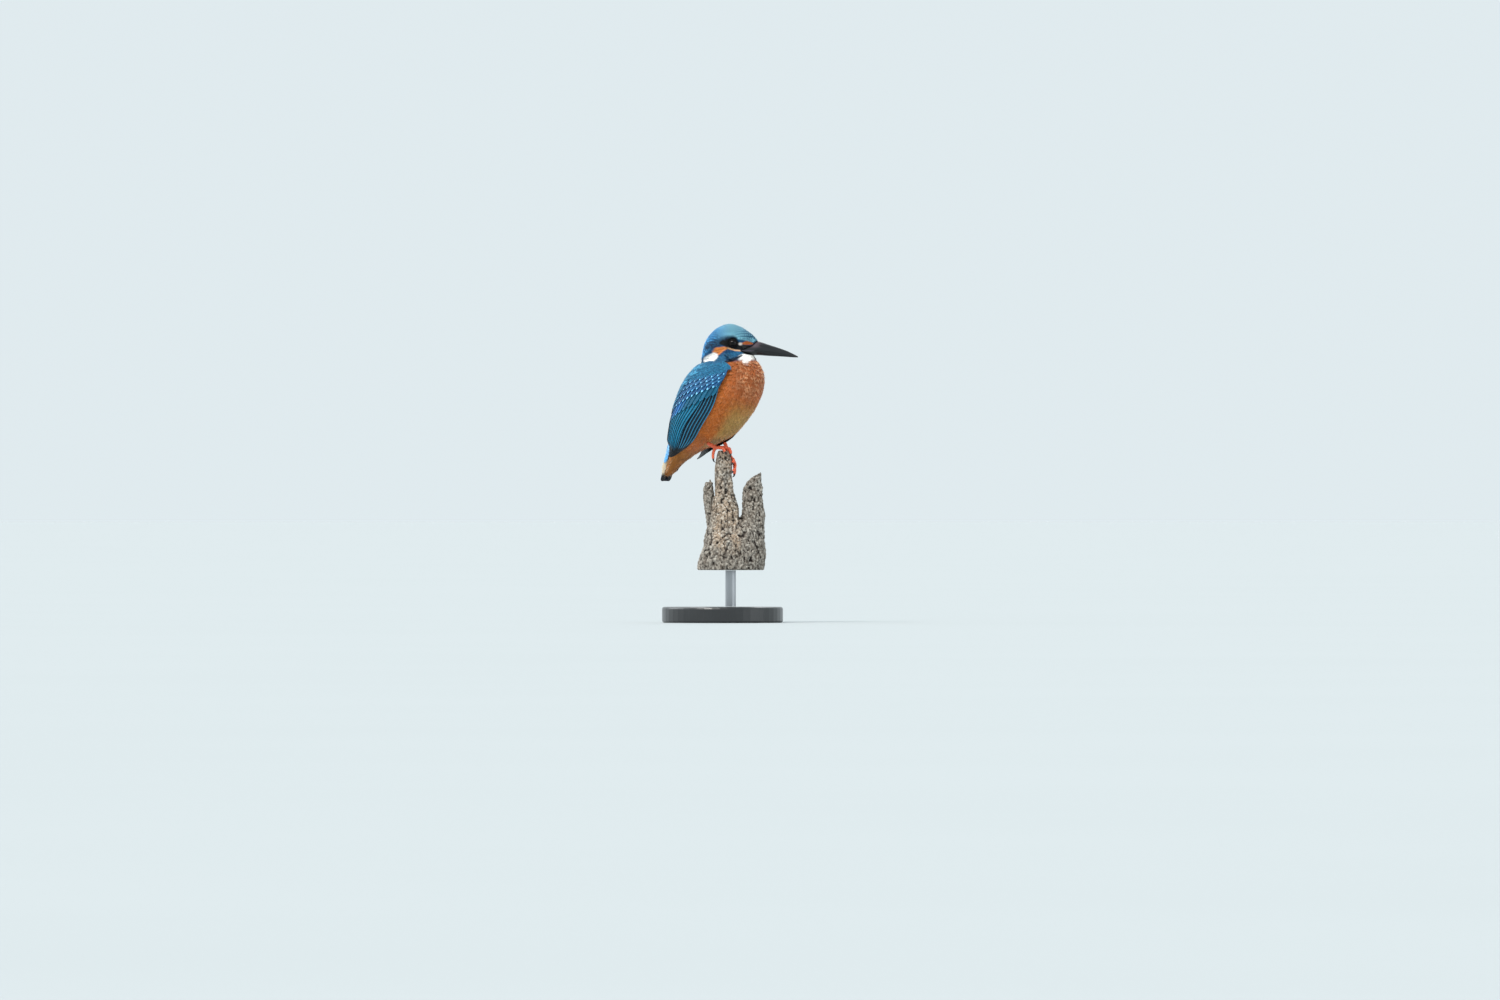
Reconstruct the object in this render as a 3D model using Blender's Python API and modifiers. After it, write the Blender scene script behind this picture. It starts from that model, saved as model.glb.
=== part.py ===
"""A life-size common kingfisher gripping the tip of a broken snag, on a plain display stand.

Metres, +Z up. The trunk faces +X and +Y is the bird's left, with the head turned a little
to that side. The origin is the middle of the stand's underside. The numbers in the tables
are in millimetres from the grip, the point on the snag's tip between the two feet.
"""

import math
from collections import namedtuple

import bmesh
import bpy
from mathutils import Matrix, Vector

MM = 0.001
CLEAR = 0.35  # gap between neighbouring solids
GRIP_HEIGHT = 132.0  # the grip above the floor
HEAD_TURN = math.radians(40)  # the head looks this far to the bird's left
HEAD_PIVOT = Vector((6.0, 0.0, 78.3))
SNAG_TURN = math.radians(40)  # the snag's broad face is turned this far from the bird's side

RING = 24  # points round the trunk
HEAD_RING = 22

# The trunk's sections, neck to undertail: the points on the back and front midlines, and half the width.
Section = namedtuple("Section", "back front half_width")
TRUNK = [
    Section((-6, 80), (20, 81), 9.0),
    Section((-13.5, 70), (27.5, 71), 15.0),
    Section((-20, 62.5), (33.5, 63.5), 19.5),
    Section((-26, 55.5), (36.8, 56), 22.5),
    Section((-31.5, 47.5), (36.3, 48.5), 24.5),
    Section((-36, 38), (32.6, 39), 25.7),
    Section((-40, 27.5), (25.4, 28.5), 25.8),
    Section((-43, 17.5), (16.6, 19), 24.5),
    Section((-45, 9), (6.5, 10.5), 21.8),
    Section((-46.4, 1.5), (-8, 4.4), 17.4),
    Section((-47.8, -3.5), (-24.5, -1.6), 12.6),
    Section((-50.4, -9), (-37.5, -8.4), 8.8),
    Section((-52.2, -13.8), (-45.7, -14.4), 6.2),
    Section((-53.6, -18.0), (-51.0, -18.8), 3.4),
]
NECK_TOP, NECK_FOOT = 66.8, 57.5  # the cuts that part head, neck and trunk

# The head's sections, nape to forehead, in its own turned frame: place, top, bottom, half width.
Profile = namedtuple("Profile", "x top bottom half_width")
HEAD = [
    Profile(-19.9, -6.0, -11.5, 3.0),
    Profile(-18.0, 2.2, -12.5, 7.2),
    Profile(-14.0, 9.2, -13.0, 10.4),
    Profile(-8.0, 14.4, -13.0, 12.0),
    Profile(0.5, 17.2, -12.8, 12.3),
    Profile(8.5, 15.4, -11.5, 11.2),
    Profile(14.0, 12.4, -9.7, 8.7),
    Profile(19.0, 8.3, -7.9, 6.3),
    Profile(22.8, 3.8, -5.6, 4.5),
]
EYE_PLACE = (3.2, 9.1, 1.8)
EYE_RADIUS = 3.6
ORBIT_PLACE, ORBIT_RADIUS = (4.7, 20.5, 1.1), 10.4  # the hollow of the face round each eye

# The bill, root to tip: place, ridge, keel, half width. Between them runs the gape line.
BILL_ROOT = 17.5
BILL = [
    Profile(BILL_ROOT, 4.2, -6.7, 5.0),
    Profile(23.5, 3.2, -7.1, 4.3),
    Profile(30.0, 1.1, -7.6, 3.3),
    Profile(38.0, -1.5, -8.0, 2.4),
    Profile(44.3, -3.8, -8.4, 1.6),
    Profile(49.0, -6.0, -8.7, 0.95),
    Profile(52.8, -8.0, -8.8, 0.35),
]
BILL_STEPS, BILL_ARCH = 11, 9
GAPE = [(BILL_ROOT, -3.4), (30.0, -4.3), (40.0, -5.8), (52.8, -8.4)]

# A wing lies on the trunk's side. Its length runs along the trunk's sections, and its two
# edges are angles from the back's midline.
WING_START, WING_END = 1.55, 10.6
WING_BACK_EDGE = [
    (1.55, 78), (2.2, 46), (3.0, 30), (4.0, 25), (5.5, 22),
    (7.0, 25), (8.0, 34), (9.0, 53), (10.0, 77), (10.6, 91),
]
WING_FRONT_EDGE = [
    (1.55, 104), (2.2, 117), (3.0, 118), (4.0, 114), (5.5, 113),
    (7.0, 108), (8.0, 105), (9.0, 104), (10.0, 105), (10.6, 101),
]
LEFT_WING_DROOP = [(1.55, 0), (6.5, 0), (8.0, 8), (9.3, 20), (10.6, 26)]  # its front edge hangs lower
WING_LIFT = [(1.55, 0.6), (7.0, 0.6), (8.0, 1.0), (9.0, 2.4), (10.0, 4.4), (10.6, 5.4)]  # off the trunk
WING_THICKNESS = 3.0
WING_EDGE_THICKNESS = 0.8
WING_STEPS, WING_POINTS = 22, 10

# The tail's sections, root to tip: middle of the plate, half width.
TAIL = [
    ((-48.2, 4.5), 5.0),
    ((-49.9, -1.5), 6.4),
    ((-52.8, -8.0), 7.2),
    ((-54.9, -14.0), 7.3),
    ((-57.4, -22.4), 6.8),
    ((-57.9, -24.3), 5.6),
]
TAIL_THICKNESS = 1.7
TAIL_ARCH = 1.6

# The snag, in its own turned frame (right, away, up): height, middle, half width, half depth.
Level = namedtuple("Level", "up right away half_width half_depth")
STUMP = [
    Level(-92, 6.2, 0, 25.0, 18.5),
    Level(-84, 7.2, 0, 25.4, 18.8),
    Level(-74, 8.8, 0, 23.6, 18.0),
    Level(-66, 9.2, 0.5, 22.4, 16.0),
    Level(-60, 9.6, 1, 21.6, 13.0),
    Level(-54, 9.0, 1, 17.5, 8.0),
]
SPIRE = [
    Level(-68, 3.0, -2.0, 10.5, 9.5),
    Level(-54, 2.6, -1.5, 10.2, 8.5),
    Level(-44, 2.4, -0.8, 9.6, 7.6),
    Level(-35, 1.9, -0.3, 7.6, 7.0),
    Level(-26, 0.9, 0, 6.9, 6.6),
    Level(-18, 0.6, 0, 6.6, 6.2),
    Level(-11, 0.9, 0, 6.3, 5.8),
    Level(-5, 0.7, 0, 5.0, 5.0),
    Level(-1.2, 0.4, 0, 3.6, 3.8),
]
LEFT_SPLINTER = [
    Level(-68, -7.5, 1, 4.6, 6.0),
    Level(-54, -7.8, 1, 4.4, 5.0),
    Level(-42, -10.6, 1, 3.6, 4.4),
    Level(-31, -10.8, 1, 3.6, 3.6),
    Level(-25.5, -9.6, 1, 2.4, 2.2),
]
RIGHT_SPLINTER = [
    Level(-68, 23.0, 2, 9.2, 9.0),
    Level(-52, 23.2, 2, 9.0, 7.0),
    Level(-42, 23.3, 2, 8.0, 5.6),
    Level(-31, 22.9, 2, 7.0, 4.6),
    Level(-24, 24.4, 2, 5.0, 3.4),
    Level(-18.5, 28.4, 2, 1.2, 1.6),
]
SNAG_RING = 16

STAND_RADIUS, STAND_THICKNESS = 46.0, 12.0
ROD_RADIUS = 4.0

# The feet, in the snag's frame: the ball of each foot, where its shank enters the plumage, and each
# toe from the ball to the root of its claw.
Foot = namedtuple("Foot", "ball heel toes")
FEET = {
    "right": Foot(
        (-5.2, -1.2, 1.0),
        (-11.5, 1.5, 4.5),
        {
            "hallux": [(-6.6, -1.0, -1.6), (-7.2, -1.6, -4.8), (-7.0, -2.0, -7.6)],
            "inner": [(-1.0, 0.6, 1.1), (3.0, 1.4, 0.9), (5.6, 1.2, -1.4)],
            "middle": [(-1.6, -1.8, 1.2), (2.6, -2.4, 1.0), (6.0, -3.0, -1.4), (6.2, -3.8, -4.0)],
            "outer": [(-2.8, -3.4, 0.8), (0.2, -4.8, 0.3), (2.2, -6.0, -2.4)],
        },
    ),
    "left": Foot(
        (6.2, 4.8, -6.6),
        (1.5, 8.4, 5.0),
        {
            "hallux": [(3.6, 6.8, -8.4), (0.2, 7.6, -10.8), (-2.2, 7.4, -13.2)],
            "inner": [(8.0, 2.0, -7.8), (8.4, -1.4, -8.8), (7.2, -3.8, -10.8)],
            "middle": [(8.8, 2.6, -9.6), (9.6, 0.2, -12.4), (9.2, -2.4, -15.2), (7.8, -4.2, -17.2)],
            "outer": [(8.4, 4.6, -10.4), (9.2, 3.2, -13.8), (9.4, 1.0, -17.2), (8.6, -1.4, -19.6)],
        },
    ),
}
SHANK_RADIUS = 1.4
TOE_RADIUS = 1.2
BALL_RADIUS = 1.75
CLAW_LENGTH = 3.2

PLUMAGE_BLUE = (0.02, 0.19, 0.42)
PLUMAGE_ORANGE = (0.55, 0.17, 0.03)


def material(name, colour, roughness, metallic=0.0):
    """A Principled material of one colour, made once."""
    made = bpy.data.materials.get(name)
    if made:
        return made
    made = bpy.data.materials.new(name)
    made.use_nodes = True
    shader = made.node_tree.nodes["Principled BSDF"]
    shader.inputs["Base Color"].default_value = (*colour, 1.0)
    shader.inputs["Roughness"].default_value = roughness
    shader.inputs["Metallic"].default_value = metallic
    return made


def along(table, place):
    """The value at place on a smooth curve through (place, value) pairs."""
    last = len(table) - 2
    i = next((k for k in range(last) if place < table[k + 1][0]), last)
    (x0, y0), (x1, y1) = table[i], table[i + 1]
    before, after = table[max(i - 1, 0)], table[min(i + 2, len(table) - 1)]
    slope0 = (y1 - before[1]) / (x1 - before[0])
    slope1 = (after[1] - y0) / (after[0] - x0)
    span = x1 - x0
    t = min(max((place - x0) / span, 0.0), 1.0)
    rise = (1 + 2 * t) * (1 - t) ** 2 * y0 + t * t * (3 - 2 * t) * y1
    return rise + span * (t * (1 - t) ** 2 * slope0 - t * t * (1 - t) * slope1)


def trunk_section(place):
    """The trunk's section at a place along its table: middle, front direction, half depth, half width."""
    fields = [(s.back[0], s.back[1], s.front[0], s.front[1], s.half_width) for s in TRUNK]
    back_x, back_z, front_x, front_z, width = (
        along([(i, row[k]) for i, row in enumerate(fields)], place) for k in range(5)
    )
    back, front = Vector((back_x, 0, back_z)), Vector((front_x, 0, front_z))
    return (back + front) / 2, (front - back).normalized(), (front - back).length / 2, width


def trunk_point(place, angle, side=1.0, lift=0.0):
    """A point on the trunk, angle from the back's midline to that side, lifted off it."""
    middle, forward, depth, width = trunk_section(place)
    outward = Vector((-math.cos(angle) / depth, math.sin(angle) / width)).normalized() * lift
    deep = -depth * math.cos(angle) + outward[0]
    wide = width * math.sin(angle) + outward[1]
    return middle + forward * deep + Vector((0, side * wide, 0))


def profile_at(table, x):
    """The Profile at a place along a table of them."""
    values = [along([(p.x, p[k]) for p in table], x) for k in (1, 2, 3)]
    return Profile(x, *values)


def superellipse(angle, power):
    """A point of a unit superellipse, rounder than a box and fuller than a circle above power 2."""
    c, s = math.cos(angle), math.sin(angle)
    return math.copysign(abs(c) ** (2 / power), c), math.copysign(abs(s) ** (2 / power), s)


def spread(first, last, count):
    return [first + (last - first) * i / (count - 1) for i in range(count)]


def finish_object(obj, name, finish, collection, smooth_angle=50):
    """Names the object, files it, and gives it its material and shading."""
    obj.name = obj.data.name = name
    for other in list(obj.users_collection):
        other.objects.unlink(obj)
    collection.objects.link(obj)
    obj.data.materials.clear()
    obj.data.materials.append(finish)
    if obj.type == "MESH":
        obj.data.shade_smooth()
        obj.data.set_sharp_from_angle(angle=math.radians(smooth_angle))
    return obj


def loft(name, rings, finish, collection):
    """A closed solid through rings of equally many points, with flat ends."""
    work = bmesh.new()
    made = [[work.verts.new(point * MM) for point in ring] for ring in rings]
    count = len(made[0])
    for near, far in zip(made, made[1:]):
        for i in range(count):
            j = (i + 1) % count
            work.faces.new((near[i], near[j], far[j], far[i]))
    work.faces.new(reversed(made[0]))
    work.faces.new(made[-1])
    bmesh.ops.recalc_face_normals(work, faces=work.faces)
    bmesh.ops.triangulate(work, faces=[f for f in work.faces if len(f.verts) > 4])
    mesh = bpy.data.meshes.new(name)
    work.to_mesh(mesh)
    work.free()
    obj = bpy.data.objects.new(name, mesh)
    return finish_object(obj, name, finish, collection)


def trunk_rings():
    steps = spread(0, len(TRUNK) - 1, 2 * len(TRUNK) + 3)
    turn = 2 * math.pi / RING
    return [[trunk_point(s, i * turn) for i in range(RING)] for s in steps]


def head_rings():
    rings = []
    for x in spread(HEAD[0].x, HEAD[-1].x, 17):
        p = profile_at(HEAD, x)
        middle, height = (p.top + p.bottom) / 2, (p.top - p.bottom) / 2
        points = (superellipse(2 * math.pi * i / HEAD_RING, 2.25) for i in range(HEAD_RING))
        rings.append([Vector((x, p.half_width * c, middle + height * s)) for c, s in points])
    return rings


def bill_arch(p, flat, crest, grow=0.0):
    """Half of a bill's section: an arch over a flat line, up or down to its crest."""
    arch = []
    for a in spread(0, math.pi, BILL_ARCH):
        wide, high = superellipse(a, 1.75)
        arch.append(Vector((p.x, wide * (p.half_width + grow), flat + (crest - flat) * high)))
    return arch


def bill_rings(upper):
    """Sections over the gape line for the upper bill, and under it for the lower."""
    rings = []
    for x in spread(BILL_ROOT, BILL[-1].x, BILL_STEPS):
        p = profile_at(BILL, x)
        gape = along(GAPE, x)
        crest = p.top if upper else p.bottom
        rings.append(bill_arch(p, gape + math.copysign(CLEAR / 2, crest - gape), crest))
    return rings


def bill_socket_rings():
    """Sections of the room the whole bill takes in the head."""
    rings = []
    for x in spread(BILL_ROOT - CLEAR, BILL[-1].x, BILL_STEPS):
        p = profile_at(BILL, x)
        gape = along(GAPE, x)
        over = bill_arch(p, gape, p.top + CLEAR, CLEAR)
        under = bill_arch(p, gape, p.bottom - CLEAR, CLEAR)
        rings.append(over + under[-2:0:-1])
    return rings


def wing_rings(side):
    """Sections of a curved plate over the trunk's side, inner face then outer face."""
    rings = []
    for s in spread(WING_START, WING_END, WING_STEPS):
        droop = along(LEFT_WING_DROOP, s) if side > 0 else 0
        edges = [math.radians(along(WING_BACK_EDGE, s)), math.radians(along(WING_FRONT_EDGE, s) + droop)]
        lift = along(WING_LIFT, s)
        taper = math.sin(math.pi * (0.12 + 0.76 * (s - WING_START) / (WING_END - WING_START))) ** 0.6
        inner, outer = [], []
        for share in spread(0, 1, WING_POINTS):
            angle = edges[0] + (edges[1] - edges[0]) * share
            swell = 1 - abs(2 * share - 1) ** 3
            thick = WING_EDGE_THICKNESS + (WING_THICKNESS - WING_EDGE_THICKNESS) * swell * taper
            inner.append(trunk_point(s, angle, side, lift))
            outer.append(trunk_point(s, angle, side, lift + thick))
        rings.append(inner + outer[::-1])
    return rings


def tail_rings():
    """Sections of a thin plate that arches a little across."""
    rings = []
    across = 9
    for i, ((x, z), half_width) in enumerate(TAIL):
        before, after = TAIL[max(i - 1, 0)][0], TAIL[min(i + 1, len(TAIL) - 1)][0]
        run = Vector((after[0] - before[0], 0, after[1] - before[1])).normalized()
        up = run.cross(Vector((0, 1, 0))).normalized()
        if up.x > 0:
            up = -up
        faces = []
        for half in (-0.5, 0.5):
            row = []
            for y in spread(-1, 1, across):
                thin = 1 - 0.45 * y * y
                sag = -TAIL_ARCH * (half_width / TAIL[-2][1]) * y * y
                row.append(Vector((x, y * half_width, z)) + up * (sag + half * TAIL_THICKNESS * thin))
            faces.append(row)
        rings.append(faces[0] + faces[1][::-1])
    return rings


def bark(angle, up):
    """Rough wood: how far the surface stands out at an angle and height, as a share of its radius."""
    grooves = math.sin(4 * angle + 0.05 * up) + 0.5 * math.sin(6 * angle - 0.08 * up + 1.0)
    knots = math.sin(0.21 * up + angle) * math.sin(0.13 * up - 2 * angle + 0.7)
    return 0.03 * grooves + 0.045 * knots


def snag_rings(levels, rough, steps):
    """Rings of one limb of the snag, roughened except where rough is 0."""
    rings = []
    for up in spread(levels[0].up, levels[-1].up, steps):
        right, away, wide, deep = (along([(v.up, v[k]) for v in levels], up) for k in range(1, 5))
        ring = []
        for i in range(SNAG_RING):
            angle = 2 * math.pi * i / SNAG_RING
            size = 1 + rough * bark(angle + right, up) * min(1, max(0, -19 - up) / 12)
            flat = (right + wide * size * math.cos(angle), away + deep * size * math.sin(angle))
            ring.append(Vector((*flat, up)))
        rings.append(ring)
    return rings


def evaluated_copy(obj, name):
    """A new mesh object, not yet in a collection, of obj with its modifiers applied."""
    bpy.context.view_layer.update()
    graph = bpy.context.evaluated_depsgraph_get()
    mesh = bpy.data.meshes.new_from_object(obj.evaluated_get(graph))
    copy = bpy.data.objects.new(name, mesh)
    copy.matrix_world = obj.matrix_world
    return copy


def boolean(obj, other, operation):
    modifier = obj.modifiers.new(f"{operation.lower()}_{other.name}", "BOOLEAN")
    modifier.operation = operation
    modifier.object = other
    return modifier


def as_cutter(obj):
    obj.hide_render = True
    obj.display_type = "WIRE"
    return obj


def between(whole, name, low, high, finish, collection):
    """The slice of whole from height low to height high, either of which may be None."""
    work = bmesh.new()
    work.from_mesh(whole.data)
    for height, outward in ((low, -1), (high, 1)):
        if height is None:
            continue
        geometry = work.verts[:] + work.edges[:] + work.faces[:]
        level = Vector((0, 0, height * MM))
        cut = bmesh.ops.bisect_plane(
            work, geom=geometry, plane_co=level, plane_no=(0, 0, outward), clear_outer=True
        )
        rim = [e for e in cut["geom_cut"] if isinstance(e, bmesh.types.BMEdge)]
        bmesh.ops.contextual_create(work, geom=rim)
    bmesh.ops.triangulate(work, faces=[f for f in work.faces if len(f.verts) > 4])
    bmesh.ops.recalc_face_normals(work, faces=work.faces)
    mesh = bpy.data.meshes.new(name)
    work.to_mesh(mesh)
    work.free()
    return finish_object(bpy.data.objects.new(name, mesh), name, finish, collection)


def head_ball(name, place, side, radius, finish, collection):
    """A ball at a place in the head's frame, on the right where side is -1."""
    bpy.ops.mesh.primitive_uv_sphere_add(segments=16, ring_count=9, radius=radius * MM)
    obj = bpy.context.object
    turned = Matrix.Rotation(HEAD_TURN, 3, "Z") @ Vector((place[0], side * place[1], place[2]))
    obj.location = (HEAD_PIVOT + turned) * MM
    return finish_object(obj, name, finish, collection)


def cylinder(name, place, radius, height, sides, finish, collection):
    bpy.ops.mesh.primitive_cylinder_add(vertices=sides, radius=radius * MM, depth=height * MM)
    obj = bpy.context.object
    obj.location = Vector(place) * MM
    return finish_object(obj, name, finish, collection)


def tube(name, points, radii, finish, collection):
    """A round limb along points, its thickness set at each of them."""
    curve = bpy.data.curves.new(name, "CURVE")
    curve.dimensions = "3D"
    curve.bevel_depth = MM
    curve.bevel_resolution = 1
    curve.use_fill_caps = True
    spline = curve.splines.new("POLY")
    spline.points.add(len(points) - 1)
    for knot, point, radius in zip(spline.points, points, radii):
        knot.co = (*(Vector(point) * MM), 1)
        knot.radius = radius
    obj = bpy.data.objects.new(name, curve)
    return finish_object(obj, name, finish, collection)


def solid_tube(name, points, radii, finish, collection):
    """A tube made a mesh, for a Boolean."""
    curve = tube("curve", points, radii, finish, collection)
    mesh = evaluated_copy(curve, "mesh")
    bpy.data.objects.remove(curve)
    return finish_object(mesh, name, finish, collection)


def smooth_route(points, steps):
    """Points evenly spread along a smooth curve through the given ones."""
    tables = [[(i, p[k]) for i, p in enumerate(points)] for k in range(3)]
    places = spread(0, len(points) - 1, steps)
    return [Vector(tuple(along(table, place) for table in tables)) for place in places]


def clear_of_wood(point, radius):
    """The point moved out from the snag's tip, or up off it, until a limb of that radius clears the wood."""
    right, away, up = point
    tip = SPIRE[-1].up
    reach = radius + CLEAR + 0.15
    if up >= tip + reach:
        return Vector(point)
    level = [along([(v.up, v[k]) for v in SPIRE], min(up, tip)) for k in range(1, 5)]
    flat = Vector((right - level[0], away - level[1]))
    wood = 1 / math.hypot(flat.x / flat.length / level[2], flat.y / flat.length / level[3])
    flat *= max(flat.length, wood * 1.03 + reach) / flat.length
    return Vector((level[0] + flat.x, level[1] + flat.y, up))


def toe_points(foot, toe):
    """The toe's route, begun a little inside the ball of the foot."""
    ball, first = Vector(foot.ball), Vector(foot.toes[toe][0])
    knots = [ball + (ball - first).normalized() * 0.4] + [Vector(k) for k in foot.toes[toe]]
    route = smooth_route(knots, 2 * len(knots) + 1)
    return [clear_of_wood(point, TOE_RADIUS) for point in route]


def claw_points(toe):
    """A claw that runs on from the toe's end and hooks in to the wood."""
    run = (toe[-1] - toe[-2]).normalized()
    inward = Vector((SPIRE[-3].right - toe[-1].x, SPIRE[-3].away - toe[-1].y, 0)).normalized()
    root = toe[-1] + run * CLEAR
    middle = clear_of_wood(root + run * 0.5 * CLAW_LENGTH + inward * 0.15 * CLAW_LENGTH, 0.45)
    tip = clear_of_wood(root + run * 0.85 * CLAW_LENGTH + inward * 0.6 * CLAW_LENGTH, 0.1)
    return [root, middle, tip]


def make_foot(side, skin, horn, collection, helpers):
    """One leg: the bare shank and its four toes in one piece, and a claw on each toe."""
    foot = FEET[side]
    bpy.ops.mesh.primitive_ico_sphere_add(subdivisions=2, radius=BALL_RADIUS * MM)
    leg = finish_object(bpy.context.object, f"leg_{side}", skin, collection)
    leg.data.transform(Matrix.Translation(Vector(foot.ball) * MM))
    limbs = {"shank": [Vector(foot.ball), Vector(foot.heel)]}
    limbs.update({toe: toe_points(foot, toe) for toe in foot.toes})
    for name, points in limbs.items():
        root = SHANK_RADIUS if name == "shank" else TOE_RADIUS
        radii = [root * (1.0 - 0.25 * i / (len(points) - 1)) for i in range(len(points))]
        form = solid_tube(f"form_{side}_{name}", points, radii, skin, helpers)
        boolean(leg, as_cutter(form), "UNION")
    for toe in foot.toes:
        tube(f"claw_{side}_{toe}", claw_points(limbs[toe]), [0.8, 0.6, 0.25], horn, collection)


def clear_scene():
    for obj in list(bpy.data.objects):
        bpy.data.objects.remove(obj)


def new_collection(name, hidden=False):
    made = bpy.data.collections.new(name)
    bpy.context.scene.collection.children.link(made)
    made.hide_render = hidden
    return made


def main():
    clear_scene()
    parts = new_collection("kingfisher")
    helpers = new_collection("cutters", hidden=True)
    blue = material("blue_plumage", PLUMAGE_BLUE, 0.55)
    orange = material("orange_plumage", PLUMAGE_ORANGE, 0.8)
    horn = material("horn", (0.02, 0.02, 0.022), 0.3)
    eye = material("eye", (0.01, 0.007, 0.005), 0.05)
    skin = material("leg_skin", (0.75, 0.13, 0.04), 0.45)
    wood = material("weathered_wood", (0.28, 0.25, 0.22), 0.9)
    stand = material("stand_lacquer", (0.03, 0.03, 0.03), 0.4)
    steel = material("rod_steel", (0.55, 0.55, 0.56), 0.3, 1.0)

    grip = Matrix.Translation(Vector((0, 0, GRIP_HEIGHT)) * MM)
    head_frame = Matrix.Translation(HEAD_PIVOT * MM) @ Matrix.Rotation(HEAD_TURN, 4, "Z")
    snag_frame = Matrix.Rotation(SNAG_TURN, 4, "Z")

    trunk_form = as_cutter(loft("trunk_form", trunk_rings(), orange, helpers))
    head_form = as_cutter(loft("head_form", head_rings(), blue, helpers))
    head_form.data.transform(head_frame)
    for side, y in (("right", -1), ("left", 1)):
        orbit = as_cutter(head_ball(f"orbit_{side}", ORBIT_PLACE, y, ORBIT_RADIUS, eye, helpers))
        boolean(head_form, orbit, "DIFFERENCE")
    boolean(trunk_form, head_form, "UNION")
    whole = evaluated_copy(trunk_form, "whole")
    half_gap = CLEAR / 2
    head = between(whole, "head", NECK_TOP + half_gap, None, blue, parts)
    between(whole, "neck", NECK_FOOT + half_gap, NECK_TOP - half_gap, orange, parts)
    trunk = between(whole, "trunk", None, NECK_FOOT - half_gap, orange, parts)

    for upper, name in ((True, "upper_bill"), (False, "lower_bill")):
        bill = loft(name, bill_rings(upper), horn, parts)
        bill.data.transform(head_frame)
    bill_socket = as_cutter(loft("bill_socket", bill_socket_rings(), horn, helpers))
    bill_socket.data.transform(head_frame)
    boolean(head, bill_socket, "DIFFERENCE")
    for side, y in (("right", -1), ("left", 1)):
        head_ball(f"eye_{side}", EYE_PLACE, y, EYE_RADIUS, eye, parts)
        socket = as_cutter(head_ball(f"socket_{side}", EYE_PLACE, y, EYE_RADIUS + CLEAR, eye, helpers))
        boolean(head, socket, "DIFFERENCE")
        loft(f"wing_{side}", wing_rings(y), blue, parts)
        make_foot(side, skin, horn, parts, helpers)
        foot = FEET[side]
        route = [Vector(foot.ball), Vector(foot.ball).lerp(Vector(foot.heel), 1.06)]
        radii = [SHANK_RADIUS + CLEAR] * 2
        shank_socket = solid_tube(f"shank_socket_{side}", route, radii, skin, helpers)
        shank_socket.data.transform(snag_frame)
        boolean(trunk, as_cutter(shank_socket), "DIFFERENCE")
    loft("tail", tail_rings(), blue, parts)

    perch = loft("perch", snag_rings(STUMP, 1.0, 12), wood, parts)
    for name, levels, rough, steps in (
        ("spire_limb", SPIRE, 0.8, 16),
        ("left_splinter_limb", LEFT_SPLINTER, 1.0, 10),
        ("right_splinter_limb", RIGHT_SPLINTER, 1.0, 11),
    ):
        boolean(perch, as_cutter(loft(name, snag_rings(levels, rough, steps), wood, helpers)), "UNION")
        bpy.data.objects[name].data.transform(snag_frame)
    perch.data.transform(snag_frame)
    for obj in list(parts.objects) + list(helpers.objects):
        if obj.name.startswith(("leg_", "claw_", "form_")):
            obj.matrix_world = snag_frame

    bpy.context.view_layer.update()
    for obj in list(parts.objects) + list(helpers.objects):
        obj.matrix_world = grip @ obj.matrix_world

    rod_foot = STAND_THICKNESS + CLEAR
    rod_top = GRIP_HEIGHT + STUMP[0].up - CLEAR
    rod_place = Matrix.Rotation(SNAG_TURN, 3, "Z") @ Vector((STUMP[0].right, STUMP[0].away, 0))
    rod_place.z = (rod_foot + rod_top) / 2
    cylinder("stand_rod", rod_place, ROD_RADIUS, rod_top - rod_foot, 24, steel, parts)
    base = cylinder(
        "stand_base", (0, 0, STAND_THICKNESS / 2), STAND_RADIUS, STAND_THICKNESS, 48, stand, parts
    )
    edge = base.modifiers.new("rounded_rim", "BEVEL")
    edge.width = 1.5 * MM
    edge.segments = 2


main()
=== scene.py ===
"""The looks of a life-size common kingfisher that grips a broken snag on a display stand.

Shapes are worked out in millimetres from the grip, the point on the snag's tip between the
feet, and become metres in the frame when a mesh is made. The bird's breast faces +X and its
left is +Y. The head and the snag have frames of their own, turned about the vertical.
"""

import math
from collections import namedtuple

import bmesh
import bpy
import numpy as np
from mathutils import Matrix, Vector, noise
from mathutils.bvhtree import BVHTree


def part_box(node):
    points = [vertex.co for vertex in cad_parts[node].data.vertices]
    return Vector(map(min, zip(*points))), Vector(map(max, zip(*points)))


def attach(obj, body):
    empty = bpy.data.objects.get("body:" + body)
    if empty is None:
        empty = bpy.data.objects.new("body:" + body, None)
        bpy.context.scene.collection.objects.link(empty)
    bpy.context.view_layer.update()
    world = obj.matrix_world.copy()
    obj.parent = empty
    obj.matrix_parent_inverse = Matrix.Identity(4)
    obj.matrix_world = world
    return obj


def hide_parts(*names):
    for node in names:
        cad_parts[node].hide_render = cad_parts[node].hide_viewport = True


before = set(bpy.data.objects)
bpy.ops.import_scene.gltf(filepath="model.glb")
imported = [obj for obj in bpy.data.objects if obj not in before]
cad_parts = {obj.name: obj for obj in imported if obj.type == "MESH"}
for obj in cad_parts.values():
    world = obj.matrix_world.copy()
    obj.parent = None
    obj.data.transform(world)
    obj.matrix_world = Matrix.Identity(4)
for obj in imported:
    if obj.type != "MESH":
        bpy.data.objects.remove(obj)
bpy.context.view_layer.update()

MM = 0.001
SPIRE_TIP = -1.2  # the snag's tip, below the grip
GRIP = np.array([0.0, 0.0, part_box("perch")[1].z / MM - SPIRE_TIP])
HEAD_TURN = math.radians(40)
HEAD_PIVOT = np.array([6.0, 0.0, 78.3])
SNAG_TURN = math.radians(40)

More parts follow.
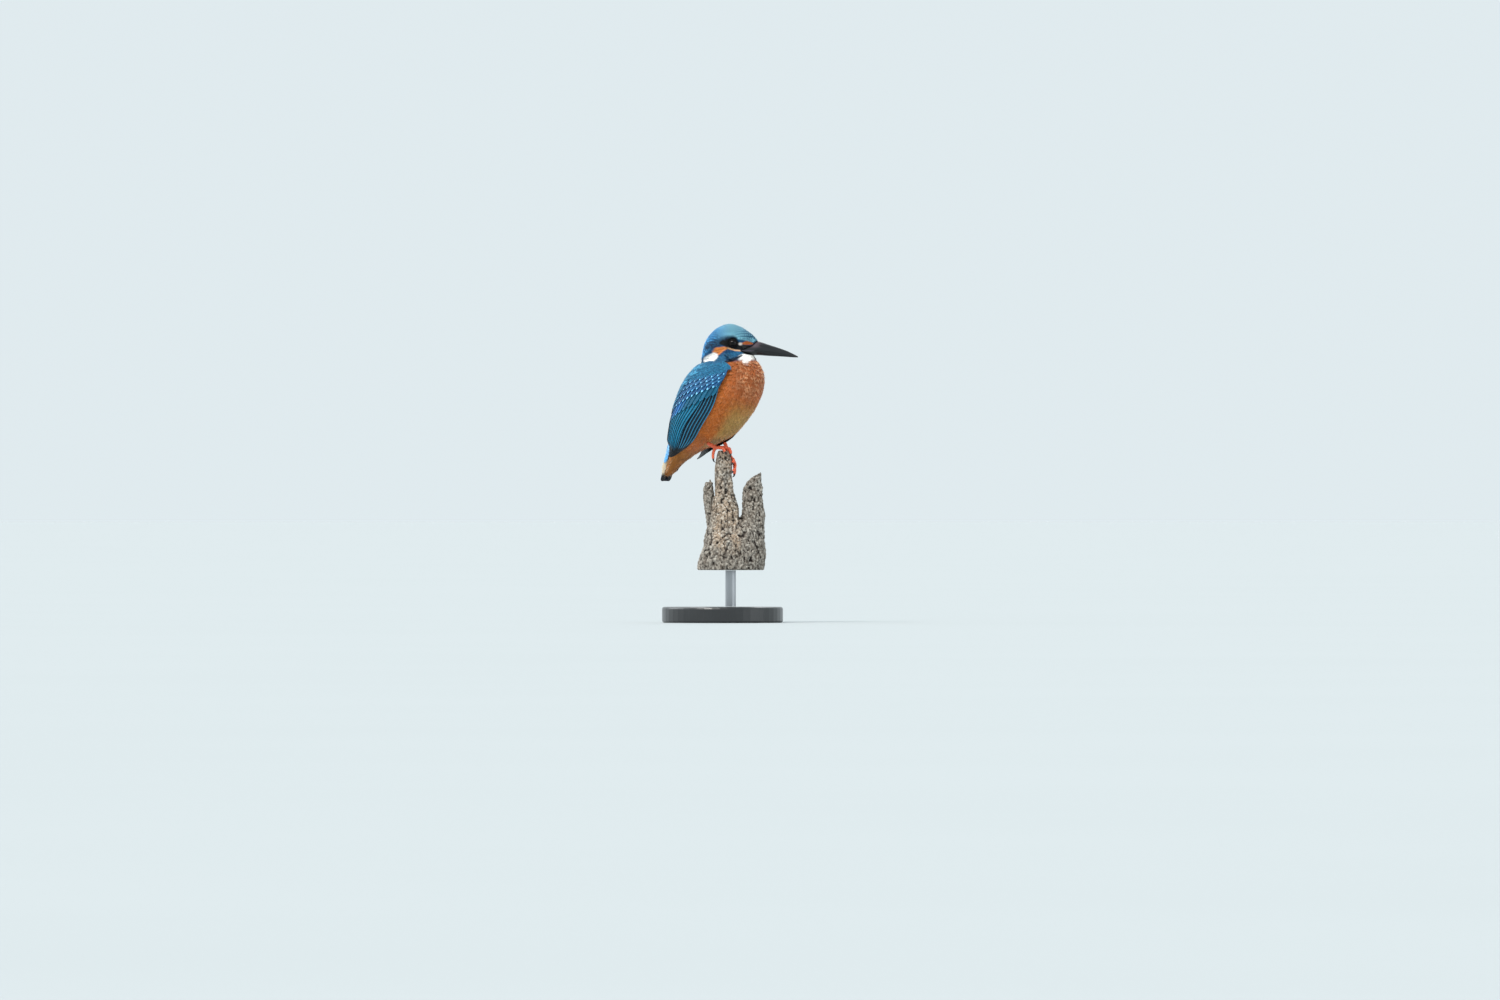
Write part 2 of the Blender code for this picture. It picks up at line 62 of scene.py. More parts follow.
# ---------------------------------------------------------------- the bird's form

Section = namedtuple("Section", "back front half_width")
TRUNK = [
    Section((-6, 80), (20, 81), 9.0),
    Section((-13.5, 70), (27.5, 71), 15.0),
    Section((-20, 62.5), (33.5, 63.5), 19.5),
    Section((-26, 55.5), (36.8, 56), 22.5),
    Section((-31.5, 47.5), (36.3, 48.5), 24.5),
    Section((-36, 38), (32.6, 39), 25.7),
    Section((-40, 27.5), (25.4, 28.5), 25.8),
    Section((-43, 17.5), (16.6, 19), 24.5),
    Section((-45, 9), (6.5, 10.5), 21.8),
    Section((-46.4, 1.5), (-8, 4.4), 17.4),
    Section((-47.8, -3.5), (-24.5, -1.6), 12.6),
    Section((-51.0, -9), (-37.5, -8.4), 9.4),
    Section((-53.6, -14.0), (-45.8, -14.6), 7.6),
    Section((-55.2, -19.4), (-52.0, -20.4), 5.4),
]
Profile = namedtuple("Profile", "x top bottom half_width")
HEAD = [
    Profile(-19.9, -6.0, -11.5, 3.0),
    Profile(-18.0, 2.2, -12.5, 7.2),
    Profile(-14.0, 9.2, -13.0, 10.4),
    Profile(-8.0, 14.4, -13.0, 12.0),
    Profile(0.5, 17.2, -12.8, 12.3),
    Profile(8.5, 15.4, -11.5, 11.2),
    Profile(14.0, 12.4, -9.7, 8.2),
    Profile(17.0, 10.2, -8.7, 6.3),
    Profile(19.5, 7.9, -7.7, 5.0),
    Profile(22.6, 3.9, -5.9, 3.3),
]
EYE_PLACE = np.array([3.2, 9.1, 1.8])
EYE_RADIUS = 3.6
ORBIT_PLACE, ORBIT_RADIUS = np.array([4.7, 20.5, 1.1]), 10.4
BILL = [
    Profile(9.2, -3.2, -4.1, 9.3),
    Profile(10.5, -2.3, -5.2, 9.1),
    Profile(12.5, -1.5, -6.3, 8.4),
    Profile(15.5, -0.7, -6.9, 7.0),
    Profile(18.0, 0.5, -7.05, 5.9),
    Profile(19.5, 2.3, -7.1, 5.3),
    Profile(21.0, 3.5, -7.1, 4.8),
    Profile(23.5, 3.2, -7.1, 4.3),
    Profile(30.0, 1.1, -7.6, 3.3),
    Profile(38.0, -1.5, -8.0, 2.4),
    Profile(44.3, -3.8, -8.4, 1.6),
    Profile(49.0, -6.0, -8.7, 0.95),
    Profile(52.8, -8.0, -8.8, 0.35),
]
GAPE = [(9.2, -3.65), (17.5, -3.6), (30.0, -4.3), (40.0, -5.8), (52.8, -8.4)]
COAT_DEPTH = 1.1  # the skin lies this far inside the outer form
# The last number is how much darker the skin is painted than the coat over it: painted shade between the
# feathers.
SKIN_VOXEL, SKIN_SMOOTHING, SKIN_PAINTED_SHADE = 0.75, 10, 0.55

# A wing lies on the trunk's side, between two edges given as angles from the back's midline.
WING_START, WING_END = 1.55, 10.6
WING_BACK_EDGE = [
    (1.55, 78), (2.2, 46), (3.0, 30), (4.0, 25), (5.5, 22),
    (7.0, 25), (8.0, 34), (9.0, 53), (10.0, 77), (10.6, 91),
]
WING_FRONT_EDGE = [
    (1.55, 104), (2.2, 117), (3.0, 117), (4.0, 112), (5.5, 112.5),
    (7.0, 108.5), (8.0, 107), (9.0, 106), (10.0, 106), (10.6, 101),
]
WING_LIFT = [(1.55, 0.6), (7.0, 0.6), (8.0, 1.0), (9.0, 2.4), (10.0, 4.4), (10.6, 5.4)]
WING_THICKNESS, WING_RIM, WING_LENGTH = 3.0, 1.7, 92

# The left wing's tips reach further, by a share of its length, and its front edge hangs lower, in
# degrees.
LEFT_WING_REACH = 0.02
LEFT_WING_DROOP = [(1.55, 0), (6.5, 0), (8.0, 8), (9.3, 20), (10.6, 26)]

# The tail's middle line (x, z) and its half width.
TAIL = [
    (-48.2, 4.5, 5.0),
    (-49.8, -1.5, 6.4),
    (-52.4, -8.0, 7.2),
    (-54.6, -14.0, 7.2),
    (-58.0, -24.4, 6.2),
]
TAIL_SKEW = 0.07  # the tail is fanned a little to the right, by this share of its length


class Smooth:
    """A smooth curve through (place, value) pairs, for one place or an array of them."""

    def __init__(self, knots):
        self.x = np.array([k[0] for k in knots], float)
        self.y = np.array([k[1] for k in knots], float)
        n = len(knots)
        low, high = np.maximum(np.arange(n) - 1, 0), np.minimum(np.arange(n) + 1, n - 1)
        self.slope = (self.y[high] - self.y[low]) / (self.x[high] - self.x[low])

    def __call__(self, place):
        i = np.clip(np.searchsorted(self.x, place, side="right") - 1, 0, len(self.x) - 2)
        span = self.x[i + 1] - self.x[i]
        t = np.clip((place - self.x[i]) / span, 0, 1)
        rise = (1 + 2 * t) * (1 - t) ** 2 * self.y[i] + t * t * (3 - 2 * t) * self.y[i + 1]
        return rise + span * (t * (1 - t) ** 2 * self.slope[i] - t * t * (1 - t) * self.slope[i + 1])


def unit(v):
    return v / np.maximum(np.linalg.norm(v, axis=-1, keepdims=True), 1e-9)


def smoothstep(low, high, x):
    t = np.clip((x - low) / (high - low), 0, 1)
    return t * t * (3 - 2 * t)


def turn_matrix(angle):
    c, s = math.cos(angle), math.sin(angle)
    return np.array([[c, -s, 0], [s, c, 0], [0, 0, 1.0]])


HEAD_AXES = turn_matrix(HEAD_TURN)
SNAG_AXES = turn_matrix(SNAG_TURN)


def from_head(points):
    return np.asarray(points, float) @ HEAD_AXES.T + HEAD_PIVOT


def to_head(points):
    return (np.asarray(points, float) - HEAD_PIVOT) @ HEAD_AXES


def from_snag(points):
    return np.asarray(points, float) @ SNAG_AXES.T


BACK_X = Smooth([(i, s.back[0]) for i, s in enumerate(TRUNK)])
BACK_Z = Smooth([(i, s.back[1]) for i, s in enumerate(TRUNK)])
FRONT_X = Smooth([(i, s.front[0]) for i, s in enumerate(TRUNK)])
FRONT_Z = Smooth([(i, s.front[1]) for i, s in enumerate(TRUNK)])
HALF_WIDTH = Smooth([(i, s.half_width) for i, s in enumerate(TRUNK)])


def trunk_section(place):
    """The middle, forward direction, half depth and half width of the trunk's sections."""
    zero = np.zeros_like(np.asarray(place, float))
    back = np.stack([BACK_X(place), zero, BACK_Z(place)], -1)
    front = np.stack([FRONT_X(place), zero, FRONT_Z(place)], -1)
    depth = np.linalg.norm(front - back, axis=-1) / 2
    return (back + front) / 2, unit(front - back), depth, HALF_WIDTH(place)


def trunk_point(place, angle, side=1.0, lift=0.0):
    """Points on the trunk, an angle from the back's midline to that side, lifted off it."""
    place, angle = np.broadcast_arrays(np.asarray(place, float), np.asarray(angle, float))
    middle, forward, depth, width = trunk_section(place)
    out = unit(np.stack([-np.cos(angle) / depth, np.sin(angle) / width], -1))
    deep = -depth * np.cos(angle) + out[..., 0] * lift
    wide = width * np.sin(angle) + out[..., 1] * lift
    point = middle + forward * deep[..., None]
    point[..., 1] += side * wide
    return point


AXIS_PLACES = np.linspace(0, len(TRUNK) - 1, 160)
AXIS_POINTS = trunk_section(AXIS_PLACES)[0]


def trunk_coordinates(points):
    """For points near the trunk: their place along it and their angle from the back's midline."""
    nearest = np.empty(len(points), int)
    for i in range(0, len(points), 4096):
        gap = points[i : i + 4096, None, ::2] - AXIS_POINTS[None, :, ::2]
        nearest[i : i + 4096] = (gap**2).sum(-1).argmin(1)
    place = AXIS_PLACES[nearest]
    middle, forward, depth, width = trunk_section(place)
    deep = ((points - middle) * forward).sum(-1) / depth
    return place, np.arctan2(np.abs(points[:, 1]) / width, -deep)


# ---------------------------------------------------------------- meshes


def linear(hex_colour):
    """A colour written as on a screen, as linear light."""
    values = [int(hex_colour[i : i + 2], 16) / 255 for i in (1, 3, 5)]
    return np.array([v / 12.92 if v <= 0.04045 else ((v + 0.055) / 1.055) ** 2.4 for v in values])


def to_frame(points):
    return (np.asarray(points, float) + GRIP) * MM


def make_mesh(name, points, faces):
    """An object from millimetre points and faces of one size."""
    mesh = bpy.data.meshes.new(name)
    faces = np.asarray(faces, np.int32)
    size = faces.shape[1]
    mesh.vertices.add(len(points))
    mesh.vertices.foreach_set("co", to_frame(points).astype(np.float32).ravel())
    mesh.loops.add(faces.size)
    mesh.loops.foreach_set("vertex_index", faces.ravel())
    mesh.polygons.add(len(faces))
    mesh.polygons.foreach_set("loop_start", np.arange(0, faces.size, size, dtype=np.int32))
    mesh.update(calc_edges=True)
    mesh.validate()
    mesh.shade_smooth()
    obj = bpy.data.objects.new(name, mesh)
    bpy.context.scene.collection.objects.link(obj)
    return obj


def add_attribute(obj, name, kind, values):
    """Stores one value for each point: kind FLOAT_COLOR, FLOAT_VECTOR or FLOAT."""
    values = np.asarray(values, np.float32)
    if kind == "FLOAT_COLOR" and values.shape[1] == 3:
        values = np.concatenate([values, np.ones((len(values), 1), np.float32)], 1)
    layer = obj.data.attributes.new(name, kind, "POINT")
    key = {"FLOAT_COLOR": "color", "FLOAT_VECTOR": "vector", "FLOAT": "value"}[kind]
    layer.data.foreach_set(key, values.ravel())


def add_bake_map(obj, places):
    """The UV map the export bakes through, given for each point."""
    loops = np.empty(len(obj.data.loops), np.int32)
    obj.data.loops.foreach_get("vertex_index", loops)
    layer = obj.data.uv_layers.new(name="OFBake")
    layer.data.foreach_set("uv", np.asarray(places, np.float32)[loops].ravel())


def finish_piece(obj, finish, replaces=()):
    """Gives a piece its material, body and slot, and hides the nodes it stands in for."""
    obj.data.materials.clear()
    obj.data.materials.append(finish)
    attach(obj, "root")
    if replaces:
        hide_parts(*replaces)
    return obj


def grid_faces(rows, columns, closed=False):
    """Quads of a grid of points, joined round when it is closed."""
    faces = []
    for i in range(rows - 1):
        for j in range(columns if closed else columns - 1):
            k = (j + 1) % columns
            faces.append((i * columns + j, i * columns + k, (i + 1) * columns + k, (i + 1) * columns + j))
    return np.array(faces)


def loft_object(name, rings):
    """A closed surface through rings of equally many points."""
    rings = np.asarray(rings, float)
    rows, columns = rings.shape[:2]
    obj = make_mesh(name, rings.reshape(-1, 3), grid_faces(rows, columns, closed=True))
    work = bmesh.new()
    work.from_mesh(obj.data)
    bmesh.ops.holes_fill(work, edges=[e for e in work.edges if e.is_boundary], sides=0)
    bmesh.ops.recalc_face_normals(work, faces=work.faces)
    bmesh.ops.triangulate(work, faces=[f for f in work.faces if len(f.verts) > 4])
    work.to_mesh(obj.data)
    work.free()
    obj.data.shade_smooth()
    return obj


def melted(name, objects, voxel, smoothing):
    """One even skin over several closed forms, which are used up."""
    with bpy.context.temp_override(active_object=objects[0], selected_editable_objects=objects):
        bpy.ops.object.join()
    whole = objects[0]
    remesh = whole.modifiers.new("remesh", "REMESH")
    remesh.mode = "VOXEL"
    remesh.voxel_size = voxel * MM
    soften = whole.modifiers.new("soften", "SMOOTH")
    soften.factor = 0.5
    soften.iterations = smoothing
    graph = bpy.context.evaluated_depsgraph_get()
    mesh = bpy.data.meshes.new_from_object(whole.evaluated_get(graph))
    bpy.data.objects.remove(whole)
    obj = bpy.data.objects.new(name, mesh)
    bpy.context.scene.collection.objects.link(obj)
    mesh.shade_smooth()
    return obj


def mesh_points(obj):
    """The points and normals of an object in millimetres from the grip."""
    count = len(obj.data.vertices)
    points, normals = np.empty(count * 3, np.float32), np.empty(count * 3, np.float32)
    obj.data.vertices.foreach_get("co", points)
    obj.data.vertex_normals.foreach_get("vector", normals)
    return points.reshape(-1, 3).astype(float) / MM - GRIP, normals.reshape(-1, 3).astype(float)


def set_points(obj, points):
    obj.data.vertices.foreach_set("co", to_frame(points).astype(np.float32).ravel())
    obj.data.update()


def surface_tree(obj):
    """A search tree over an object's faces, in millimetres from the grip."""
    points, _ = mesh_points(obj)
    return BVHTree.FromPolygons([Vector(p) for p in points], [tuple(f.vertices) for f in obj.data.polygons])


# ---------------------------------------------------------------- the skin


def superellipse(angle, power):
    c, s = np.cos(angle), np.sin(angle)
    return np.sign(c) * np.abs(c) ** (2 / power), np.sign(s) * np.abs(s) ** (2 / power)


def profile_curves(table):
    return [Smooth([(p.x, p[k]) for p in table]) for k in (1, 2, 3)]


def head_form():
    """The head's outer form, as sections along the bill's axis."""
    top, bottom, width = profile_curves(HEAD)
    angle = np.linspace(0, 2 * math.pi, 56, endpoint=False)
    wide, high = superellipse(angle, 2.25)
    rings = []
    for x in np.linspace(HEAD[0].x, HEAD[-1].x, 60):
        middle, height = (top(x) + bottom(x)) / 2, (top(x) - bottom(x)) / 2
        ring = np.stack([np.full_like(angle, x), width(x) * wide, middle + height * high], -1)
        rings.append(from_head(ring))
    return loft_object("head_form", rings)


def trunk_form():
    angle = np.linspace(0, 2 * math.pi, 72, endpoint=False)
    return loft_object("trunk_form", [trunk_point(s, angle) for s in np.linspace(0, len(TRUNK) - 1, 90)])


# Swellings and hollows of the face, in the head's frame: place along and up, spread along and
# up, and height.
Swelling = namedtuple("Swelling", "x z along up height")
FACE = [
    Swelling(-6.0, -4.0, 6.0, 4.5, 0.7),  # ear coverts
    Swelling(2.0, -8.0, 6.5, 2.6, 0.8),  # malar stripe
    Swelling(4.0, 8.2, 6.0, 2.4, 0.7),  # brow
    Swelling(12.0, 1.2, 4.5, 1.6, -0.3),  # the groove of the lores
    Swelling(-13.5, -9.5, 4.5, 4.0, 0.6),  # the white side of the neck
]


def sculpt_face(points, normals):
    """The face's hollows and swellings, on both sides alike."""
    local = to_head(points)
    moved = points.copy()
    shift = np.zeros(len(points))
    beside = smoothstep(3.0, 6.0, np.abs(local[:, 1]))
    for f in FACE:
        gap = ((local[:, 0] - f.x) / f.along) ** 2 + ((local[:, 2] - f.z) / f.up) ** 2
        shift += f.height * np.exp(-gap) * beside
    moved += normals * shift[:, None]
    local = to_head(moved)
    for side in (-1, 1):
        centre = ORBIT_PLACE * [1, side, 1]
        gap = local - centre
        distance = np.linalg.norm(gap, axis=1)
        inside = distance < ORBIT_RADIUS
        local[inside] = centre + gap[inside] / distance[inside, None] * ORBIT_RADIUS
    return from_head(local)


def headness(points):
    """1 on the head, 0 on the trunk, between them at the throat and nape."""
    local = to_head(points)
    reach = smoothstep(27.0, 24.0, np.hypot(local[:, 0], local[:, 1]))
    return smoothstep(-1.8, 1.8, local[:, 2] + 11.8 - 0.05 * local[:, 0]) * reach


BILL_TOP, BILL_BOTTOM, BILL_WIDTH = profile_curves(BILL)
GAPE_LINE = Smooth(GAPE)


def bill_power(x):
    """How square the bill's section is: nearly a box at the gape's corners, round ahead of them."""
    return 1.8 + 1.6 * smoothstep(22.0, 16.0, x)


def sink_under_bill(points):
    """The skin drawn in where the bill's horny corners lie over it."""
    local = to_head(points)
    x = np.clip(local[:, 0], BILL[0].x, BILL[-1].x)
    top, bottom, gape, power = BILL_TOP(x), BILL_BOTTOM(x), GAPE_LINE(x), bill_power(x)
    crest = np.where(local[:, 2] > gape, top, bottom)
    off_gape = np.clip((local[:, 2] - gape) / (crest - gape), 0, 1)
    limit = BILL_WIDTH(x) * (1 - off_gape**power) ** (1 / power) - 0.6
    inside = smoothstep(0.0, 0.7, np.minimum(top - local[:, 2], local[:, 2] - bottom))
    inside = inside * smoothstep(BILL[0].x, BILL[0].x + 1.5, local[:, 0])
    y = np.abs(local[:, 1])
    local[:, 1] = np.sign(local[:, 1]) * (y + (np.minimum(y, np.maximum(limit, 0)) - y) * inside)
    return from_head(local)


def make_skin():
    """One skin over trunk and head, sunk by the coat's depth and drawn in under the bill."""
    skin = melted("skin", [trunk_form(), head_form()], SKIN_VOXEL, SKIN_SMOOTHING)
    points, normals = mesh_points(skin)
    points = sculpt_face(points, normals)
    near_bill = smoothstep(15.0, 22.0, to_head(points)[:, 0])
    depth = COAT_DEPTH - headness(points) * (0.45 + 0.4 * near_bill)
    set_points(skin, sink_under_bill(points - normals * depth[:, None]))
    return skin


# ---------------------------------------------------------------- the plumage's markings

ORANGE, CHESTNUT, PALE_ORANGE = linear("#bf6420"), linear("#97502b"), linear("#d99c70")
BELLY, UNDERTAIL, UNDERTAIL_EDGE = linear("#b0904f"), linear("#a8682a"), linear("#ead9bd")
AZURE, RUMP, MANTLE = linear("#55b0ee"), linear("#90cdfc"), linear("#20688f")
CROWN, CROWN_FRONT = linear("#0e2f50"), linear("#1d5575")
CROWN_BAR, CROWN_BAR_BACK = linear("#9fe4f4"), linear("#46a2e2")
BROW, MASK, CREAM = linear("#0d2036"), linear("#06080c"), linear("#e8b688")
EAR, LORE, LORE_SPOT, WHITE = linear("#cf7a38"), linear("#bf5f24"), linear("#cfc6bd"), linear("#fcfaf6")
# The dark line at the malar stripe's lower edge is painted shadow, cast by the head's feathers on the
# breast.
MALAR, MALAR_BAR, MALAR_SHADOW = linear("#164a72"), linear("#3d97c2"), linear("#0d1d2e")
HORN = linear("#101115")

Coat = namedtuple("Coat", "ground mark band")  # colour, tip colour, and band start, end and strength


def blot(x, z, place, spread):
    """An oval patch in the side view of the head: 1 inside it, 0 outside."""
    along, up = (x - place[0]) / spread[0], (z - place[1]) / spread[1]
    return smoothstep(1.35, 0.65, np.hypot(along, up))


def stripe(x, z, route, soft=0.5):
    """A tapering stripe along a route of (x, z, half width)."""
    best = np.full(len(x), -9.0)
    for (x0, z0, w0), (x1, z1, w1) in zip(route, route[1:]):
        run = (x1 - x0) ** 2 + (z1 - z0) ** 2
        t = np.clip(((x - x0) * (x1 - x0) + (z - z0) * (z1 - z0)) / run, 0, 1)
        gap = np.hypot(x - x0 - t * (x1 - x0), z - z0 - t * (z1 - z0))
        best = np.maximum(best, w0 + t * (w1 - w0) - gap)
    return smoothstep(-soft, soft, best)


def mix(a, b, share):
    return a + (b - a) * np.asarray(share)[..., None]


# The head's side view: the lower edge of the crown's colour and of its feathers' roots, at places
# along it, and the stripes' routes as places along, up, and half widths.
CROWN_ALONG = [-20, -16, -11, -4, 4, 12, 18, 23]
CROWN_EDGE = [-9.5, -5.0, -0.5, 1.6, 5.6, 3.9, 2.6, 2.3]
CROWN_ROOTS = [-11, -7.0, -2.0, 3.6, 6.2, 4.6, 3.4, 2.8]
DUSKY_ROUTE = [(-15, -1.0, 2.2), (-8, 2.4, 2.4), (-2, 4.6, 2.2), (5, 6.0, 1.4)]
EAR_ROUTE = [(-0.5, -1.6, 0.7), (-4, -2.3, 1.6), (-8.5, -4.2, 3.0), (-10, -5.2, 2.2)]
MALAR_ROUTE = [(11, -5.0, 0.9), (5, -6.6, 2.0), (-1, -8.4, 2.9), (-8, -10.8, 2.2), (-12, -12.6, 1.3)]
# The route of the painted shadow along the malar stripe's lower edge.
MALAR_SHADOW_ROUTE = [(10, -7.4, 0.6), (6, -9.8, 0.9), (0, -11.9, 1.0), (-9, -13.8, 0.8)]
NECK_ROUTE = [(-19.6, -13.6, 1.8), (-15.5, -11.2, 3.5), (-10.8, -7.8, 2.7)]
LORE_ROUTE = [(10.6, 1.7, 0.6), (14, 2.2, 1.5), (18.0, 1.6, 0.7)]
MASK_ROUTE = [(-5.0, 2.2, 1.6), (3, 1.8, 4.5), (8, -0.8, 2.4), (14, -1.2, 1.6), (20, -0.8, 1.2)]
BIB_ROUTE = [(15, -8.4, 3.4), (13.4, -12.4, 2.6), (13.0, -15.6, 0.8)]
CREAM_ROUTE = [(10.4, -3.9, 0.45), (5, -3.4, 0.55), (-0.5, -1.8, 0.6)]
FACE_BAND = np.array([0.7, 1.1, 0.1])


def laid_over(coat, share, ground, mark, band):
    """A coat with other colours laid over it, by a share at each point."""
    return Coat(mix(coat.ground, ground, share), mix(coat.mark, mark, share), mix(coat.band, band, share))


def under_markings(place, degrees):
    """Chestnut breast with pale-edged feathers above, a paler belly and a buff undertail."""
    n = len(place)
    ground = np.tile(ORANGE, (n, 1))
    mark = np.tile(PALE_ORANGE, (n, 1))
    band = np.tile([0.7, 1.1, 0.12], (n, 1))
    breast = smoothstep(5.6, 3.2, place) * smoothstep(105, 140, degrees)
    ground = mix(ground, CHESTNUT, 0.75 * breast)
    band[:, 2] += 0.5 * smoothstep(4.4, 2.6, place) * smoothstep(125, 160, degrees)
    belly = smoothstep(3.9, 5.6, place) * smoothstep(9.2, 7.8, place) * smoothstep(124, 152, degrees)
    ground = mix(ground, BELLY, 0.85 * belly)
    vent = smoothstep(8.6, 10.0, place)
    ground = mix(ground, UNDERTAIL, vent)
    mark = mix(mark, UNDERTAIL * 1.5, vent)
    edge = smoothstep(110, 66, degrees) * smoothstep(10.0, 12.4, place)
    return Coat(mix(ground, UNDERTAIL_EDGE, 0.3 * edge), mark, band)


def upper_markings(coat, place, degrees):
    """Blue mantle and shoulders, with brilliant azure down the back and rump."""
    shoulder = smoothstep(3.3, 2.3, place) * smoothstep(116, 106, degrees)
    upper = np.maximum(shoulder, smoothstep(64, 52, degrees) * smoothstep(11.5, 10.5, place))
    mantle = np.tile(MANTLE, (len(place), 1))
    blue = mix(mantle, AZURE, smoothstep(40, 22, degrees) * smoothstep(1.6, 3.0, place))
    blue = mix(blue, RUMP, 0.5 * smoothstep(7.6, 9.6, place))
    return laid_over(coat, upper, blue, blue * 1.6, np.array([0.45, 1.1, 0.35]))


def crown_markings(coat, head, x, y, z):
    """The head's ground colours, white throat, barred crown and dusky brow."""
    n = len(x)
    beside = smoothstep(2.0, 4.5, y)
    throat = smoothstep(-5.5, -7.0, z) * smoothstep(6.4, 8.8, x) * head
    face = mix(np.tile(MALAR, (n, 1)), WHITE, throat)
    coat = laid_over(coat, head, face, face, FACE_BAND)
    crown = smoothstep(-0.6, 0.6, z - np.interp(x, CROWN_ALONG, CROWN_EDGE)) * head
    crown = np.maximum(crown, head * (1 - beside) * smoothstep(-6.0, -4.0, z))
    bar = mix(np.tile(CROWN_BAR_BACK, (n, 1)), CROWN_BAR, smoothstep(-12, 6, x))
    scalp = mix(np.tile(CROWN, (n, 1)), CROWN_FRONT, smoothstep(-6, 10, x))
    coat = laid_over(coat, crown, scalp, bar, np.array([0.8, 1.0, 1.0]))
    dusky = stripe(x, z, DUSKY_ROUTE, 0.8) * beside * head
    coat.band[:, 2] *= 1 - 0.75 * dusky
    return coat._replace(ground=mix(coat.ground, BROW, 0.9 * dusky))


def face_patches(x, y, z):
    """The face's patches, the last on top: share, colour, tip colour and band."""
    beside = smoothstep(2.0, 4.5, y)
    bib = stripe(x, z, BIB_ROUTE, 0.6)
    malar = stripe(x, z, MALAR_ROUTE) * beside
    # Painted shadow of the head's feathers along the malar stripe's lower edge.
    malar_shadow = stripe(x, z, MALAR_SHADOW_ROUTE, 0.4) * beside
    spot = blot(x, z, (9.0, 1.4), (1.5, 1.1)) * beside
    return (
        (bib, WHITE, WHITE, FACE_BAND),
        (malar, MALAR, MALAR_BAR, np.array([0.6, 0.9, 0.45])),
        (malar_shadow, MALAR_SHADOW, MALAR_SHADOW, FACE_BAND),
        (stripe(x, z, EAR_ROUTE) * beside, EAR, CREAM, FACE_BAND),
        (stripe(x, z, NECK_ROUTE) * beside, WHITE, WHITE, FACE_BAND),
        (stripe(x, z, MASK_ROUTE) * beside, MASK, MASK, FACE_BAND),
        (stripe(x, z, LORE_ROUTE, 0.3) * beside, LORE, CREAM, FACE_BAND),
        (spot, LORE_SPOT, WHITE, FACE_BAND),
        (stripe(x, z, CREAM_ROUTE, 0.25) * beside, CREAM, CREAM, FACE_BAND),
    )


def markings(points):
    """The plumage's colours at points on the bird: ground, tip mark and its band."""
    place, angle = trunk_coordinates(points)
    degrees = np.degrees(angle)
    coat = upper_markings(under_markings(place, degrees), place, degrees)
    local = to_head(points)
    x, y, z = local[:, 0], np.abs(local[:, 1]), local[:, 2]
    head = headness(points)
    coat = crown_markings(coat, head, x, y, z)
    near = smoothstep(-16.5, -14.5, z) * smoothstep(26, 23, np.hypot(x, y))
    for share, *looks in face_patches(x, y, z):
        coat = laid_over(coat, share * near, *looks)
    return coat._replace(ground=mix(coat.ground, HORN, on_rictus(points) * (head > 0.5)))


# ---------------------------------------------------------------- the lie of the coat

TAIL_POINT = np.array([-60.0, 0.0, -24.0])
BILL_POINT = from_head([28.0, 0.0, 0.6])


def coat_flow(points, normals):
    """Which way feathers point: back from the bill on the head, towards the tail on the trunk."""
    over_head = unit(points - BILL_POINT)
    over_trunk = unit(TAIL_POINT - points)
    share = headness(points)[:, None]
    flow = over_head * share + over_trunk * (1 - share)
    flow = flow - normals * (flow * normals).sum(-1, keepdims=True)
    return unit(flow)


def settle(tree, points):
    """The nearest places on a surface, and its normals there."""
    places, normals = np.empty_like(points), np.empty_like(points)
    for i, p in enumerate(points):
        place, normal, _, _ = tree.find_nearest(Vector(p))
        places[i], normals[i] = place, normal
    return places, normals


PATH_STEPS = 4


def lay_paths(tree, roots, normals, lengths, flow):
    """Follows the lie of the coat from each root. Gives points and normals along each feather."""
    points, ups = [roots], [normals]
    here, up = roots, normals
    for _ in range(PATH_STEPS):
        ahead = here + flow(here, up) * (lengths / PATH_STEPS)[:, None]
        here, up = settle(tree, ahead)
        leaves = np.linalg.norm(here - ahead, axis=1) > 0.45
        here[leaves], up[leaves] = ahead[leaves], ups[-1][leaves]
        up = unit(up * 0.5 + ups[-1] * 0.5)
        points.append(here)
        ups.append(up)
    return np.stack(points, 1), np.stack(ups, 1)


def scatter(skin, spacing, chaos, tries):
    """Roots over the skin at random, none nearer to another than the spacing wanted there."""
    points, normals = mesh_points(skin)
    skin.data.calc_loop_triangles()
    corners = np.empty(len(skin.data.loop_triangles) * 3, np.int32)
    skin.data.loop_triangles.foreach_get("vertices", corners)
    corners = corners.reshape(-1, 3)
    a, b, c = (points[corners[:, k]] for k in range(3))
    area = np.linalg.norm(np.cross(b - a, c - a), axis=1)
    pick = corners[chaos.choice(len(area), tries, p=area / area.sum())]
    r, s = np.sqrt(chaos.uniform(0, 1, tries))[:, None], chaos.uniform(0, 1, tries)[:, None]
    weights = (1 - r, r * (1 - s), r * s)
    places = sum(w * points[pick[:, k]] for k, w in enumerate(weights))
    ups = unit(sum(w * normals[pick[:, k]] for k, w in enumerate(weights)))
    gaps = spacing(places)
    cells, kept = {}, []
    size = float(gaps[gaps > 0].max())
    keys = np.floor(places / size).astype(int)
    for i in np.flatnonzero(gaps > 0):
        p, gap = places[i], gaps[i]
        x, y, z = keys[i]
        near = (
            q
            for dx in (-1, 0, 1)
            for dy in (-1, 0, 1)
            for dz in (-1, 0, 1)
            for q in cells.get((x + dx, y + dy, z + dz), ())
        )
        if all((p[0] - q[0]) ** 2 + (p[1] - q[1]) ** 2 + (p[2] - q[2]) ** 2 > gap * gap for q in near):
            cells.setdefault((x, y, z), []).append(tuple(p))
            kept.append(i)
    return places[kept], ups[kept]


# ---------------------------------------------------------------- feathers

# A feather's pattern: how far along each point lies, its row (1 all round the tip's edge), how far
# across, how wide that is, its lock of barbs, and the upper (1) or lower (-1) face of a blade.
Pattern = namedtuple("Pattern", "t row across wide lock sheet faces")


